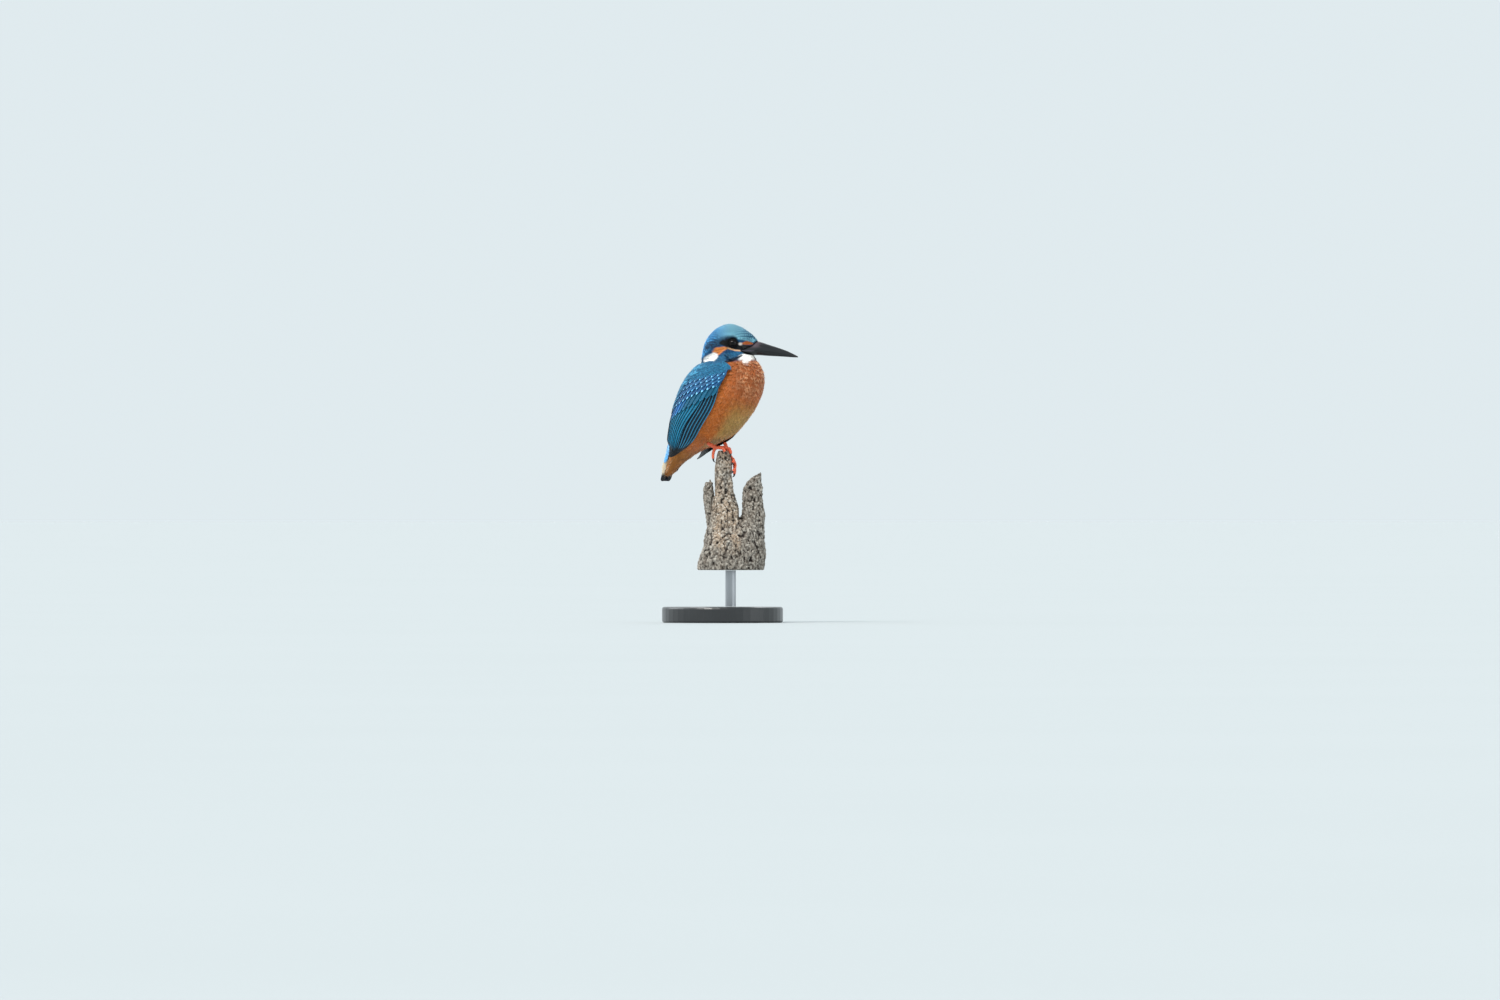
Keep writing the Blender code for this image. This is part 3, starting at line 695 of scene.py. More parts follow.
def vane_width(t, blunt):
    """A feather's half width along it, as a share of its widest."""
    root = np.sqrt(np.clip(t / 0.35, 0.04, 1))
    tip = np.sqrt(np.clip(1 - (np.clip(t - blunt, 0, None) / (1.08 - blunt)) ** 2, 0.02, 1))
    return root * tip


def vane_pattern(rows, columns, tip_curve, blunt, closed=False):
    """A whole feather with a rounded tip, as one sheet or as a closed blade."""
    across = np.linspace(-1, 1, columns)
    rows = np.array(rows, float)
    t = (rows[:, None] * (1 - tip_curve * across**2)).ravel()
    wide = (across * vane_width(rows, blunt)[:, None]).ravel()
    side, row = np.tile(across, len(rows)), np.repeat(rows, columns)
    faces = grid_faces(len(rows), columns)
    flat = np.zeros(len(t))
    if not closed:
        return Pattern(t, row, side, wide, flat.astype(int), flat, faces)
    last = len(rows) - 1
    rim = [(i, 0) for i in range(last)] + [(last, j) for j in range(columns - 1)]
    rim += [(i, columns - 1) for i in range(last, 0, -1)] + [(0, j) for j in range(columns - 1, 0, -1)]
    rim = np.array([i * columns + j for i, j in rim])
    after, count = np.roll(rim, -1), len(t)
    walls = np.stack([rim, after, after + count, rim + count], 1)
    faces = np.concatenate([faces, faces[:, [0, 3, 2, 1]] + count, walls])
    t, row, side, wide, lock = (np.tile(a, 2) for a in (t, row, side, wide, flat.astype(int)))
    return Pattern(t, row, side, wide, lock, np.concatenate([flat + 1, flat - 1]), faces)


def tuft_pattern(locks, tip_curve, rows=(0, 0.4, 0.65, 0.85, 1.0)):
    """A soft feather, as a fan of overlapping locks of barbs that end in fine tips."""
    t, at_row, across, wide, lock, faces = [], [], [], [], [], []
    for k in range(locks):
        middle = (2 * k + 1) / locks - 1
        reach = 1 - tip_curve * middle**2
        for i, row in enumerate(rows):
            gather = 0.45 + 0.55 * min(1.0, row / 0.5)
            half = 1.35 / locks * (1 - 0.93 * max(0.0, (row - 0.55) / 0.45) ** 1.6)
            for s in (-1, 1):
                t.append(row * reach)
                at_row.append(row)
                across.append(max(-1.0, min(1.0, middle + s * half)))
                wide.append((middle + s * half) * gather)
                lock.append(k)
            if i:
                n = len(t)
                faces.append((n - 4, n - 3, n - 1, n - 2))
    count = len(t)
    return Pattern(*map(np.array, (t, at_row, across, wide, lock)), np.zeros(count), np.array(faces))


Fray = namedtuple("Fray", "length side lift")  # how much locks differ, and how far apart they stand
SLEEK = Fray(0.0, 0.0, 0.0)


def grow(pattern, paths, ups, widths, lift, chaos, sink=0.1, camber=0.22, fray=SLEEK, thick=0.0, tilt=0.0):
    """Points of many feathers over their paths, and how far along and across each one lies."""
    count, knots = paths.shape[:2]
    locks = pattern.lock.max() + 1
    longer, aside, higher = (chaos.uniform(-k, k, (count, locks))[:, pattern.lock] for k in fray)
    t = pattern.t[None] * (1 + longer)
    v = pattern.wide[None] + aside * pattern.t[None] ** 2
    place = np.clip(t, 0, 1.1) * (knots - 1)
    low = np.clip(place.astype(int), 0, knots - 2)
    share = (place - low)[..., None]
    rows = np.arange(count)[:, None]
    centre = paths[rows, low] * (1 - share) + paths[rows, low + 1] * share
    up = unit(ups[rows, low] * (1 - share) + ups[rows, low + 1] * share)
    run = unit(paths[rows, low + 1] - paths[rows, low])
    across = unit(np.cross(run, up))
    half = widths[:, None] / 2
    height = lift[:, None] * np.clip(t, 0, 1.1) ** 1.15 - sink - camber * half * v * v + higher * t
    height = height + thick * pattern.sheet[None] * (1 - 0.4 * pattern.across[None] ** 2) + tilt * half * v
    points = centre + across * (half * v)[..., None] + up * height[..., None]
    return points.reshape(-1, 3), np.tile(pattern.row, count), np.tile(pattern.across, count)


BAKE_PATCH = 0.003  # how wide each feather's patch of the bake map is


def coat_object(name, pattern, points, t, v, coat, chaos, bake_places):
    """A piece of coat made of feathers, with its colours and its bake map.

    The coat has one colour for each feather, or one for each point where the pattern is fine.
    """
    each = len(pattern.t)
    count = len(points) // each
    if len(coat.ground) == count:
        coat = Coat(*(np.repeat(a, each, 0) for a in coat))
    faces = (pattern.faces[None] + (np.arange(count) * each)[:, None, None]).reshape(-1, 4)
    obj = make_mesh(name, points, faces)
    luck = np.repeat(chaos.uniform(0, 1, count), each)
    add_attribute(obj, "ground", "FLOAT_COLOR", coat.ground)
    add_attribute(obj, "mark", "FLOAT_COLOR", coat.mark)
    add_attribute(obj, "band", "FLOAT_VECTOR", coat.band)
    add_attribute(obj, "vane", "FLOAT_VECTOR", np.stack([t, v, luck], 1))
    offset = np.stack([v * 0.5, t - 0.5], 1) * BAKE_PATCH
    add_bake_map(obj, np.repeat(bake_places, each, 0) + offset)
    return obj


CROWN_FEATHER = vane_pattern([0, 0.35, 0.6, 0.76, 0.84, 0.92, 1.0], 9, 0.3, 0.66)
FACE_TUFT = tuft_pattern(5, 0.30, rows=(0, 0.45, 0.75, 1.0))
BODY_TUFT = tuft_pattern(9, 0.42)
FACE_TRIES, BODY_TRIES = 240000, 110000  # random places tried for roots


def eye_gap(points):
    """How far points are from the nearer eye's middle."""
    local = to_head(points)
    local[:, 1] = np.abs(local[:, 1])
    return np.linalg.norm(local - EYE_PLACE, axis=1)


def clear_of_eye(roots, flow, lengths, margin):
    """Shortens feathers that would lie over an eye. Those with no room get no length."""
    lengths = lengths.copy()
    for side in (-1, 1):
        gap = from_head(EYE_PLACE * [1, side, 1]) - roots
        ahead = (gap * flow).sum(1)
        miss = np.linalg.norm(gap - flow * ahead[:, None], axis=1)
        radius = EYE_RADIUS + margin
        inside = np.linalg.norm(gap, axis=1) < radius
        room = ahead - np.sqrt(np.clip(radius**2 - miss**2, 0, None))
        crosses = (miss < radius) & (ahead > 0)
        lengths = np.where(crosses, np.minimum(lengths, room), lengths)
        lengths[inside] = 0
    return lengths


def bill_clearance(points):
    """Above 0 outside the horny bill, in millimetres, and below it inside."""
    local = to_head(points)
    x = np.clip(local[:, 0], BILL[0].x, BILL[-1].x)
    middle, height = (BILL_TOP(x) + BILL_BOTTOM(x)) / 2, (BILL_TOP(x) - BILL_BOTTOM(x)) / 2
    power = bill_power(x)
    aside = np.abs(local[:, 1] / BILL_WIDTH(x)) ** power
    above = np.abs((local[:, 2] - middle) / height) ** power
    share = (aside + above) ** (1 / power)
    return np.where(local[:, 0] > BILL[0].x, (share - 1) * 4, 9.0)


def on_rictus(points, margin=0.0):
    """Where the bill's bare horny corners run back along the gape, as a share."""
    local = to_head(points)
    x, z = np.clip(local[:, 0], BILL[0].x, BILL[-1].x), local[:, 2]
    inside = np.minimum(BILL_TOP(x) - z, z - BILL_BOTTOM(x)) + margin
    return smoothstep(-0.25, 0.25, inside) * (local[:, 0] > BILL[0].x)


def head_unwrap(points):
    """Places of points in an unwrap of the head round the bill's axis."""
    local = to_head(points) - [0.5, 0, 1.5]
    polar = np.arctan2(np.hypot(local[:, 1], local[:, 2]), local[:, 0])
    round_axis = np.arctan2(local[:, 1], -local[:, 2]) / (2 * math.pi) + 0.5
    return np.stack([0.02 + 0.96 * round_axis, 0.02 + 0.96 * polar / math.pi], 1)


def trunk_unwrap(points):
    """Places of points in an unwrap of the trunk, cut down the back."""
    place, angle = trunk_coordinates(points)
    round_trunk = 0.5 + 0.48 * np.sign(points[:, 1]) * (1 - angle / math.pi)
    return np.stack([round_trunk, 0.02 + 0.96 * place / (len(TRUNK) - 1)], 1)


def is_crown(points):
    local = to_head(points)
    line = np.interp(local[:, 0], CROWN_ALONG, CROWN_ROOTS)
    return (local[:, 2] > line) | ((np.abs(local[:, 1]) < 4.5) & (local[:, 2] > -12) & (local[:, 0] < 0))


def crown_rows(tree):
    """Rows of roots over the crown and nape, each row a ring round the bill's axis."""
    tilt = math.radians(12)
    axis = np.array([math.cos(tilt), 0, -math.sin(tilt)])
    up, side = np.array([-axis[2], 0, axis[0]]), np.array([0, 1.0, 0])
    centre = from_head([0.5, 0, 1.5])
    roots, normals = [], []
    polar, row = math.radians(12), 0
    while polar < math.radians(172):
        reach = 13.0
        count = max(9, int(2 * math.pi * reach * math.sin(polar) / 1.95))
        for i in range(count):
            turn = 2 * math.pi * (i + 0.5 * (row % 2)) / count
            ray = axis * math.cos(polar) + (up * math.cos(turn) + side * math.sin(turn)) * math.sin(polar)
            place, normal, _, distance = tree.ray_cast(Vector(centre), Vector(HEAD_AXES @ ray))
            if place:
                roots.append(tuple(place))
                normals.append(tuple(normal))
                reach = max(reach, distance) if i == 0 else reach
        polar += 1.05 / reach
        row += 1
    return np.array(roots), np.array(normals)


def make_crown(tree, finish):
    """Scale-like feathers in rows, each with a bright bar before its dark tip."""
    chaos = np.random.default_rng(7)
    roots, normals = crown_rows(tree)
    keep = (headness(roots) > 0.35) & (bill_clearance(roots) > 0.1) & is_crown(roots)
    roots, normals = roots[keep], normals[keep]
    roots, normals = settle(tree, roots + chaos.normal(0, 0.10, roots.shape))
    local = to_head(roots)
    nape = smoothstep(-9, -17, local[:, 0])
    lengths = 3.5 - 0.9 * smoothstep(10, 20, local[:, 0]) + 1.6 * nape
    lengths = clear_of_eye(roots, coat_flow(roots, normals), lengths, 0.1)
    keep = lengths > 0.8
    roots, normals, lengths, nape = (a[keep] for a in (roots, normals, lengths, nape))
    lengths = lengths * chaos.uniform(0.94, 1.06, len(lengths))
    widths = np.minimum(2.7, lengths * 0.95)
    paths, ups = lay_paths(tree, roots, normals, lengths, coat_flow)
    lift = (0.5 + 0.6 * nape + chaos.uniform(-0.05, 0.1, len(roots))) * np.clip(lengths / 3.0, 0.4, 1.1)
    points, t, v = grow(CROWN_FEATHER, paths, ups, widths, lift, chaos, camber=0.16, fray=Fray(0.03, 0, 0))
    coat = Coat(*(np.repeat(a, len(CROWN_FEATHER.t), 0) for a in markings(paths[:, 2])))
    coat.band[:, 2] *= smoothstep(1.0, 0.62, np.abs(v))
    piece = coat_object("coat_crown", CROWN_FEATHER, points, t, v, coat, chaos, head_unwrap(roots))
    return finish_piece(piece, finish)


def face_spacing(points):
    """How far apart the face's feathers root, and 0 where none do. The neck's stand closest."""
    local = to_head(points)
    gap = 0.56 + 0.55 * smoothstep(12, -4, local[:, 0]) + 0.35 * smoothstep(-3, -10, local[:, 2])
    gap = gap - 0.6 * smoothstep(-5, -8, local[:, 2]) * smoothstep(7, 2, local[:, 0])
    on_face = (headness(points) > 0.3) & (bill_clearance(points) > 0.05)
    low_crown = is_crown(points) & is_crown(points - [0, 0, 1.6])
    bare = on_rictus(points, -0.2) > 0.5
    return np.where(on_face & ~low_crown & ~bare, gap, 0)


def make_face(skin, tree, finish):
    """Short soft feathers on the face and throat, smallest at the bill and eyes."""
    chaos = np.random.default_rng(8)
    roots, normals = scatter(skin, face_spacing, chaos, FACE_TRIES)
    local = to_head(roots)
    small = smoothstep(2.5, 16.0, local[:, 0])
    low = smoothstep(-5, -10, local[:, 2])
    lengths = 3.6 - 1.8 * small + 1.6 * low + 1.0 * smoothstep(-9, -15, local[:, 0])
    lengths = np.where(eye_gap(roots) < 6.2, np.minimum(lengths, 1.7), lengths)
    lengths = clear_of_eye(roots, coat_flow(roots, normals), lengths, 0.02)
    keep = lengths > 0.45
    roots, normals, lengths = roots[keep], normals[keep], lengths[keep]
    lengths = lengths * chaos.uniform(0.85, 1.15, len(lengths))
    widths = np.clip(lengths * 0.62, 0.7, 2.5)
    paths, ups = lay_paths(tree, roots, normals, lengths, coat_flow)
    lift = np.clip(0.2 * lengths, 0.12, 0.75) * chaos.uniform(0.8, 1.2, len(roots))
    lift = lift + 0.35 * smoothstep(-9, -14, local[keep, 0]) * smoothstep(-4, -8, local[keep, 2])
    points, t, v = grow(FACE_TUFT, paths, ups, widths, lift, chaos, sink=0.08, fray=Fray(0.12, 0.12, 0.06))
    coat = markings(points)
    coat.band[:, 0] = np.minimum(coat.band[:, 0], 0.55)
    coat.band[:, 2] *= 0.62
    piece = coat_object("coat_face", FACE_TUFT, points, t, v, coat, chaos, head_unwrap(roots))
    return finish_piece(piece, finish)


def under_wing(place, degrees):
    """Where the wings hide the trunk."""
    back = Smooth(WING_BACK_EDGE)(place) + 10
    front = Smooth(WING_FRONT_EDGE)(place) - 14
    return (place > 2.2) & (place < 9.2) & (degrees > back) & (degrees < front)


def trunk_spacing(points):
    """How far apart the trunk's feathers root, and 0 where none do."""
    place, angle = trunk_coordinates(points)
    gap = 1.75 + 0.2 * smoothstep(7, 9, place) - 0.35 * smoothstep(2.2, 0.8, place)
    gap = gap - 0.6 * smoothstep(9.6, 10.8, place)
    gap = gap + 0.35 * smoothstep(75, 50, np.degrees(angle))
    bare = under_wing(place, np.degrees(angle)) | (headness(points) > 0.7) | (place > 12.8)
    bare = bare | ((place > 10.9) & (np.degrees(angle) < 66))
    return np.where(bare, 0, gap)


def make_trunk_coat(skin, tree, finish):
    """The body's loose plumage, in pieces for the breast, the belly and the back."""
    chaos = np.random.default_rng(11)
    roots, normals = scatter(skin, trunk_spacing, chaos, BODY_TRIES)
    place, angle = trunk_coordinates(roots)
    lengths = 6.6 + 2.4 * smoothstep(6.5, 9.5, place) - 1.9 * smoothstep(2.8, 1.0, place)
    lengths *= chaos.uniform(0.85, 1.15, len(lengths))
    lengths = np.minimum(lengths, 2.6 + (len(TRUNK) - 1 - place) * 4.2)
    fine = smoothstep(9.6, 10.8, place)
    widths = lengths * (0.62 - 0.2 * fine) * chaos.uniform(0.9, 1.1, len(lengths))
    paths, ups = lay_paths(tree, roots, normals, lengths, coat_flow)
    rump = smoothstep(7.0, 9.0, place) * smoothstep(70, 40, np.degrees(angle))
    rump = rump * (1.3 + 1.4 * smoothstep(9.0, 10.2, place)) * smoothstep(11.4, 10.6, place)
    lift = 1.0 - 0.4 * fine + 0.25 * smoothstep(5.0, 2.0, place) + rump
    lift = lift + chaos.uniform(-0.2, 0.3, len(roots))
    coat = markings(paths[:, 3])
    coat.band[:, 2] *= chaos.uniform(0.1, 1.9, len(roots))
    back = np.degrees(angle) < 62
    regions = {
        "coat_breast": ~back & (place < 5.2),
        "coat_belly": ~back & (place >= 5.2),
        "coat_back": back,
    }
    fray = Fray(0.1, 0.14, 0.16)
    for name, part in regions.items():
        laid = (paths[part], ups[part], widths[part], lift[part])
        points, t, v = grow(BODY_TUFT, *laid, chaos, sink=0.15, fray=fray)
        own = Coat(*(a[part] for a in coat))
        piece = coat_object(name, BODY_TUFT, points, t, v, own, chaos, trunk_unwrap(roots[part]))
        finish_piece(piece, finish)


# ---------------------------------------------------------------- wings and tail

WING_BACK, WING_FRONT, WING_RISE = Smooth(WING_BACK_EDGE), Smooth(WING_FRONT_EDGE), Smooth(WING_LIFT)
WING_DROOP = Smooth(LEFT_WING_DROOP)


def wing_point(p, q, side, layer):
    """Points on a wing: p from shoulder to tip, q from its back edge to its front, layer of its depth."""
    s = WING_START + np.clip(p, 0, 1.035) * (WING_END - WING_START)
    back, front = WING_BACK(s), WING_FRONT(s) + (WING_DROOP(s) if side > 0 else 0)
    swell = 1 - np.clip(np.abs(2 * q - 1), 0, 1) ** 3
    taper = np.sin(math.pi * (0.12 + 0.76 * np.clip(p, 0, 1))) ** 0.6
    thick = WING_RIM + (WING_THICKNESS - WING_RIM) * swell * taper
    return trunk_point(s, np.radians(back + (front - back) * q), side, WING_RISE(s) + thick * layer)


# How one kind of wing or tail feather is coloured: ground and tip mark with its band (start, end,
# strength) and reach across (0 for all), trim and its edge (from, to, strength), underside, and how
# far the trim fades at the tip.
Look = namedtuple("Look", "ground mark band reach trim edge under fade", defaults=[0.0])
# The blades' undersides are painted shade: near-black, so that one showing between feathers reads as
# shadow.
SHADE = "#14181d"
PRIMARY = Look("#08202f", "#04070c", (0.84, 1.1, 0.85), 0, "#3890b8", (0.78, 1.2, 0.9), SHADE, 1.0)
SECONDARY = Look("#0f7498", "#0a2a3c", (0.93, 1.1, 0.8), 0, "#041a28", (0.82, 1.2, 0.9), SHADE)
TERTIAL = Look("#125f88", "#0b3046", (0.9, 1.1, 0.8), 0, "#04202f", (0.84, 1.2, 0.8), SHADE)
GREATER = Look("#1577a8", "#49b2e0", (0.88, 1.1, 0.7), 0, "#0a3a55", (0.84, 1.2, 0.6), SHADE)
MEDIAN = Look("#125080", "#7ed2fb", (0.84, 1.1, 1.0), 0.42, "#082a48", (0.84, 1.2, 0.6), SHADE)
LESSER = Look("#155888", "#70c8f8", (0.85, 1.1, 0.95), 0.4, "#082a48", (0.84, 1.2, 0.5), SHADE)
SHOULDER_LOOK = Look("#175a80", "#2b7fa6", (0.7, 1.1, 0.6), 0, "#14496c", (-1.2, -0.6, 0.4), SHADE)
SCAPULAR = Look("#195e84", "#4a9fc6", (0.6, 1.1, 0.5), 0, "#12435f", (0.5, 1.2, 0.7), SHADE)
RECTRIX = Look("#1f57a8", "#16407f", (0.9, 1.1, 0.5), 0, "#2f86cf", (0.6, 1.2, 0.5), "#0a0b0f")

Quill = namedtuple("Quill", "root tip width low high look")


def oblique_row(tip_line, length, width, count, layers, look, shift=0.0, span=(0.02, 0.98)):
    """Coverts side by side across the wing, their tips on a slanting line (p at back, p at front)."""
    row = []
    for i in range(count):
        q = span[0] + (span[1] - span[0]) * min(1.0, (i + shift) / (count - 1))
        p = tip_line[0] + (tip_line[1] - tip_line[0]) * q
        root = (p - length / WING_LENGTH, min(1.0, q + 0.05))
        row.append(Quill(root, (p, q), width, *layers, look))
    return row


def teal_towards_front(row):
    """Greater coverts are blue with pale tips at the wing's back edge, and plain teal at its front."""
    out = []
    for k in row:
        front = float(smoothstep(0.25, 0.75, k.tip[1]))
        ground = "#1c6cb2" if front < 0.3 else "#12659c" if front < 0.7 else "#0c5a7a"
        start, end, strength = k.look.band
        band = (start + 0.04 * front, end, strength * (1 - 0.85 * front))
        look = k.look._replace(ground=ground, band=band)
        out.append(k._replace(look=look))
    return out


PRIMARY_TIPS = [
    (0.925, 0.985), (0.965, 0.9), (0.99, 0.8), (1.0, 0.7),
    (0.99, 0.59), (0.97, 0.49), (0.945, 0.4), (0.915, 0.32),
]


def flight_quills(side):
    """The primaries, secondaries and tertials of a folded wing, from the lowest to the topmost."""
    quills = []
    for i, (p, q) in enumerate(PRIMARY_TIPS):
        layer = 0.12 + 0.045 * i
        reach = LEFT_WING_REACH * (1 + 2.6 * (0.95 - q)) if side > 0 else 0
        root = (0.2, 0.99 - 0.03 * i)
        quills.append(Quill(root, (p + reach, q), 6.2, layer, layer + 0.02, PRIMARY))
    for i in range(10):
        share = i / 9
        root = (0.2 + 0.2 * share, 0.9 - 0.62 * share)
        tip = (0.895 - 0.14 * share, 0.5 - 0.46 * share)
        layer = 0.52 + 0.03 * i
        look = TERTIAL if i > 7 else SECONDARY
        quills.append(Quill(root, tip, 5.6, layer, layer + 0.03, look))
    return quills


def covert_quills():
    """The greater, median and lesser coverts, which lie over the flight feathers' roots."""
    quills = teal_towards_front(oblique_row((0.64, 0.36), 15, 4.6, 13, (0.74, 0.9), GREATER))
    quills += oblique_row((0.535, 0.28), 9.5, 3.5, 14, (0.8, 0.98), MEDIAN, 0.5)
    for i, tip_line in enumerate([(0.455, 0.235), (0.385, 0.19), (0.32, 0.15)]):
        layers = (0.84, 1.02 + 0.02 * i)
        quills += oblique_row(tip_line, 7.5 - 0.4 * i, 3.1, 14 - i, layers, LESSER, 0.5 * (i % 2))
    return quills


def soft_quills(chaos):
    """The soft feathers of the shoulder and the scapulars, which lie over the rest of the wing."""
    quills = []
    span, layers = (0.02, 1.09), (0.84, 1.0)
    for i, p in enumerate(np.linspace(0.3, 0.05, 11)):
        length, shift = 6.0 - 0.1 * i, 0.5 * (i % 2)
        for k in oblique_row((p, 0.42 * p), length, 3.6, 17, layers, SHOULDER_LOOK, shift, span):
            over = max(0.0, k.tip[1] - 0.94) / 0.16
            low, high = 0.84 - 0.5 * over, 1.0 + 0.015 * i - 0.6 * over
            if k.tip[0] > 0.035:
                quills.append(k._replace(low=low, high=high, tip=(k.tip[0] - 0.01 * over, k.tip[1])))
    for i, p in enumerate(np.linspace(0.52, 0.12, 12)):
        length = 13 - 0.5 * i
        top = 0.2 + 0.16 * i / 11
        for j in range(7):
            q = -0.15 + (top + 0.15) * (j + 0.5 * (i % 2)) / 6
            tip = (p - 0.1 * (q + 0.15) + chaos.uniform(-0.01, 0.01), q)
            sunk = 1 - 0.7 * float(smoothstep(0.02, -0.14, q))
            low, high = (0.9 + 0.03 * i) * sunk, (1.08 + 0.03 * i) * sunk
            root = (tip[0] - length / WING_LENGTH, q + 0.02)
            quills.append(Quill(root, tip, 4.6, low, high, SCAPULAR))
    return [k._replace(root=(max(0.0, k.root[0]), k.root[1])) for k in quills]


FLIGHT_ROWS = [*np.linspace(0, 0.8, 12), 0.86, 0.92, 0.96, 0.985, 1.0]
COVERT_ROWS = [*np.linspace(0, 0.8, 10), 0.86, 0.92, 0.97, 1.0]
TAIL_ROWS = [0, 0.2, 0.4, 0.6, 0.8, 0.92, 0.97, 1.0]
FLIGHT_BLADE = vane_pattern(FLIGHT_ROWS, 7, 0.045, 0.84, closed=True)
COVERT_BLADE = vane_pattern(COVERT_ROWS, 7, 0.14, 0.74, closed=True)
TAIL_BLADE = vane_pattern(TAIL_ROWS, 9, 0.05, 0.9, closed=True)


def look_colours(name, looks):
    return np.array([linear(getattr(look, name)) for look in looks])


def blade_object(name, pattern, points, t, v, looks, side, chaos):
    """A piece made of closed feather blades, with its colours and its bake map."""
    each, count = len(pattern.t), len(looks)
    faces = (pattern.faces[None] + (np.arange(count) * each)[:, None, None]).reshape(-1, 4)
    obj = make_mesh(name, points, faces)
    luck = np.repeat(chaos.uniform(0, 1, count), each)
    beneath = np.tile(pattern.sheet < 0, count)[:, None]
    under = np.repeat(look_colours("under", looks), each, 0)
    for key in ("ground", "mark", "trim"):
        upper = np.repeat(look_colours(key, looks), each, 0)
        add_attribute(obj, key, "FLOAT_COLOR", np.where(beneath, under, upper))
    band, edge = (np.repeat([getattr(k, key) for k in looks], each, 0) for key in ("band", "edge"))
    fade = np.repeat([k.fade for k in looks], each)
    edge[:, 2] *= 1 - fade * smoothstep(0.78, 0.9, t)
    add_attribute(obj, "band", "FLOAT_VECTOR", band)
    add_attribute(obj, "edge", "FLOAT_VECTOR", edge)
    add_attribute(obj, "reach", "FLOAT", np.repeat([k.reach for k in looks], each))
    add_attribute(obj, "vane", "FLOAT_VECTOR", np.stack([t, v * side, luck], 1))
    columns = math.ceil(math.sqrt(2 * count))
    cell = np.repeat(np.arange(count) * 2, each) + beneath[:, 0]
    place = np.stack([cell % columns, cell // columns], 1) + 0.5
    offset = np.stack([v * 0.42, t * 0.84 - 0.42], 1)
    add_bake_map(obj, (place + offset) / columns)
    return obj


QUILL_KNOTS = 17


def quill_paths(quills, side):
    """The middle line of each wing feather and the way up along it."""
    u = np.linspace(0, 1, QUILL_KNOTS)[None]
    root, tip = np.array([k.root for k in quills]), np.array([k.tip for k in quills])
    p = root[:, :1] + (tip[:, :1] - root[:, :1]) * u
    q = root[:, 1:] + (tip[:, 1:] - root[:, 1:]) * u
    low = np.array([k.low for k in quills])[:, None]
    layer = low + (np.array([k.high for k in quills])[:, None] - low) * u
    here = wing_point(p, q, side, layer)
    ahead = wing_point(p + 0.004, q, side, layer) - wing_point(p - 0.004, q, side, layer)
    beside = wing_point(p, q + 0.01, side, layer) - wing_point(p, q - 0.01, side, layer)
    return here, unit(np.cross(beside, ahead) * side)


def wing_core(name, side):
    """The flesh of a folded wing, hidden under its feathers."""
    rings = []
    for p in np.linspace(0.03, 0.84, 50):
        q = np.linspace(0.05 + 0.25 * smoothstep(0.6, 0.84, p), 0.93, 18)
        rings.append(np.concatenate([wing_point(p, q, side, -0.12), wing_point(p, q[::-1], side, 0.04)]))
    return loft_object(name, rings)


def make_wing(side, name, feather, soft, core_shade_finish):
    """A folded wing: its flesh, stiff feathers as closed blades, and soft ones over its shoulder."""
    chaos = np.random.default_rng(21)
    # The wing's core is coloured as painted shadow between its feathers.
    finish_piece(wing_core(f"{name}_core", side), core_shade_finish, [name])
    stiff = (("flight", FLIGHT_BLADE, flight_quills(side)), ("coverts", COVERT_BLADE, covert_quills()))
    lie = {"sink": 0.0, "camber": 0.05, "thick": 0.06, "tilt": 0.15 * side}
    for kind, pattern, quills in stiff:
        paths, ups = quill_paths(quills, side)
        widths = np.array([k.width for k in quills]) * chaos.uniform(0.94, 1.06, len(quills))
        points, t, v = grow(pattern, paths, ups, widths, np.zeros(len(quills)), chaos, **lie)
        looks = [k.look for k in quills]
        piece = blade_object(f"{name}_{kind}", pattern, points, t, v, looks, side, chaos)
        finish_piece(piece, feather)
    return make_scapulars(side, name, soft, chaos)


def make_scapulars(side, name, soft, chaos):
    quills = soft_quills(chaos)
    count = len(quills)
    paths, ups = quill_paths(quills, side)
    widths = np.array([k.width for k in quills]) * chaos.uniform(0.9, 1.1, count)
    rise = chaos.uniform(0.1, 0.5, count)
    fray = Fray(0.1, 0.12, 0.12)
    points, t, v = grow(BODY_TUFT, paths, ups, widths, rise, chaos, sink=0.0, camber=0.15, fray=fray)
    looks = [k.look for k in quills]
    band = np.array([k.band for k in looks])
    band[:, 2] *= chaos.uniform(0.2, 1.5, count)
    coat = Coat(look_colours("ground", looks), look_colours("mark", looks), band)
    bake = np.array([(0.15 + 0.7 * k.tip[1], 0.05 + 0.9 * k.tip[0]) for k in quills])
    piece = coat_object(f"{name}_scapulars", BODY_TUFT, points, t, v, coat, chaos, bake)
    return finish_piece(piece, soft)


TAIL_X, TAIL_Z, TAIL_WIDE = (Smooth([(i, k[n]) for i, k in enumerate(TAIL)]) for n in range(3))


def tail_point(u, y, height):
    """Points on the tail: u along it from 0 to 1, y across from -1 to 1, height off its middle."""
    place = np.asarray(u, float) * (len(TAIL) - 1)
    x, z = TAIL_X(place), TAIL_Z(place)
    run = unit(np.stack([TAIL_X(place + 0.05) - x, np.zeros_like(x), TAIL_Z(place + 0.05) - z], -1))
    run = np.where(np.isfinite(run) & (np.abs(run).sum(-1, keepdims=True) > 0.5), run, [-0.08, 0, -0.997])
    up = np.stack([run[..., 2], np.zeros_like(x), -run[..., 0]], -1)
    width = TAIL_WIDE(place)
    sag = -1.6 * width / 7.6 * y * y + height
    middle = np.stack([x, y * width, z], -1)
    return middle + up * sag[..., None], up


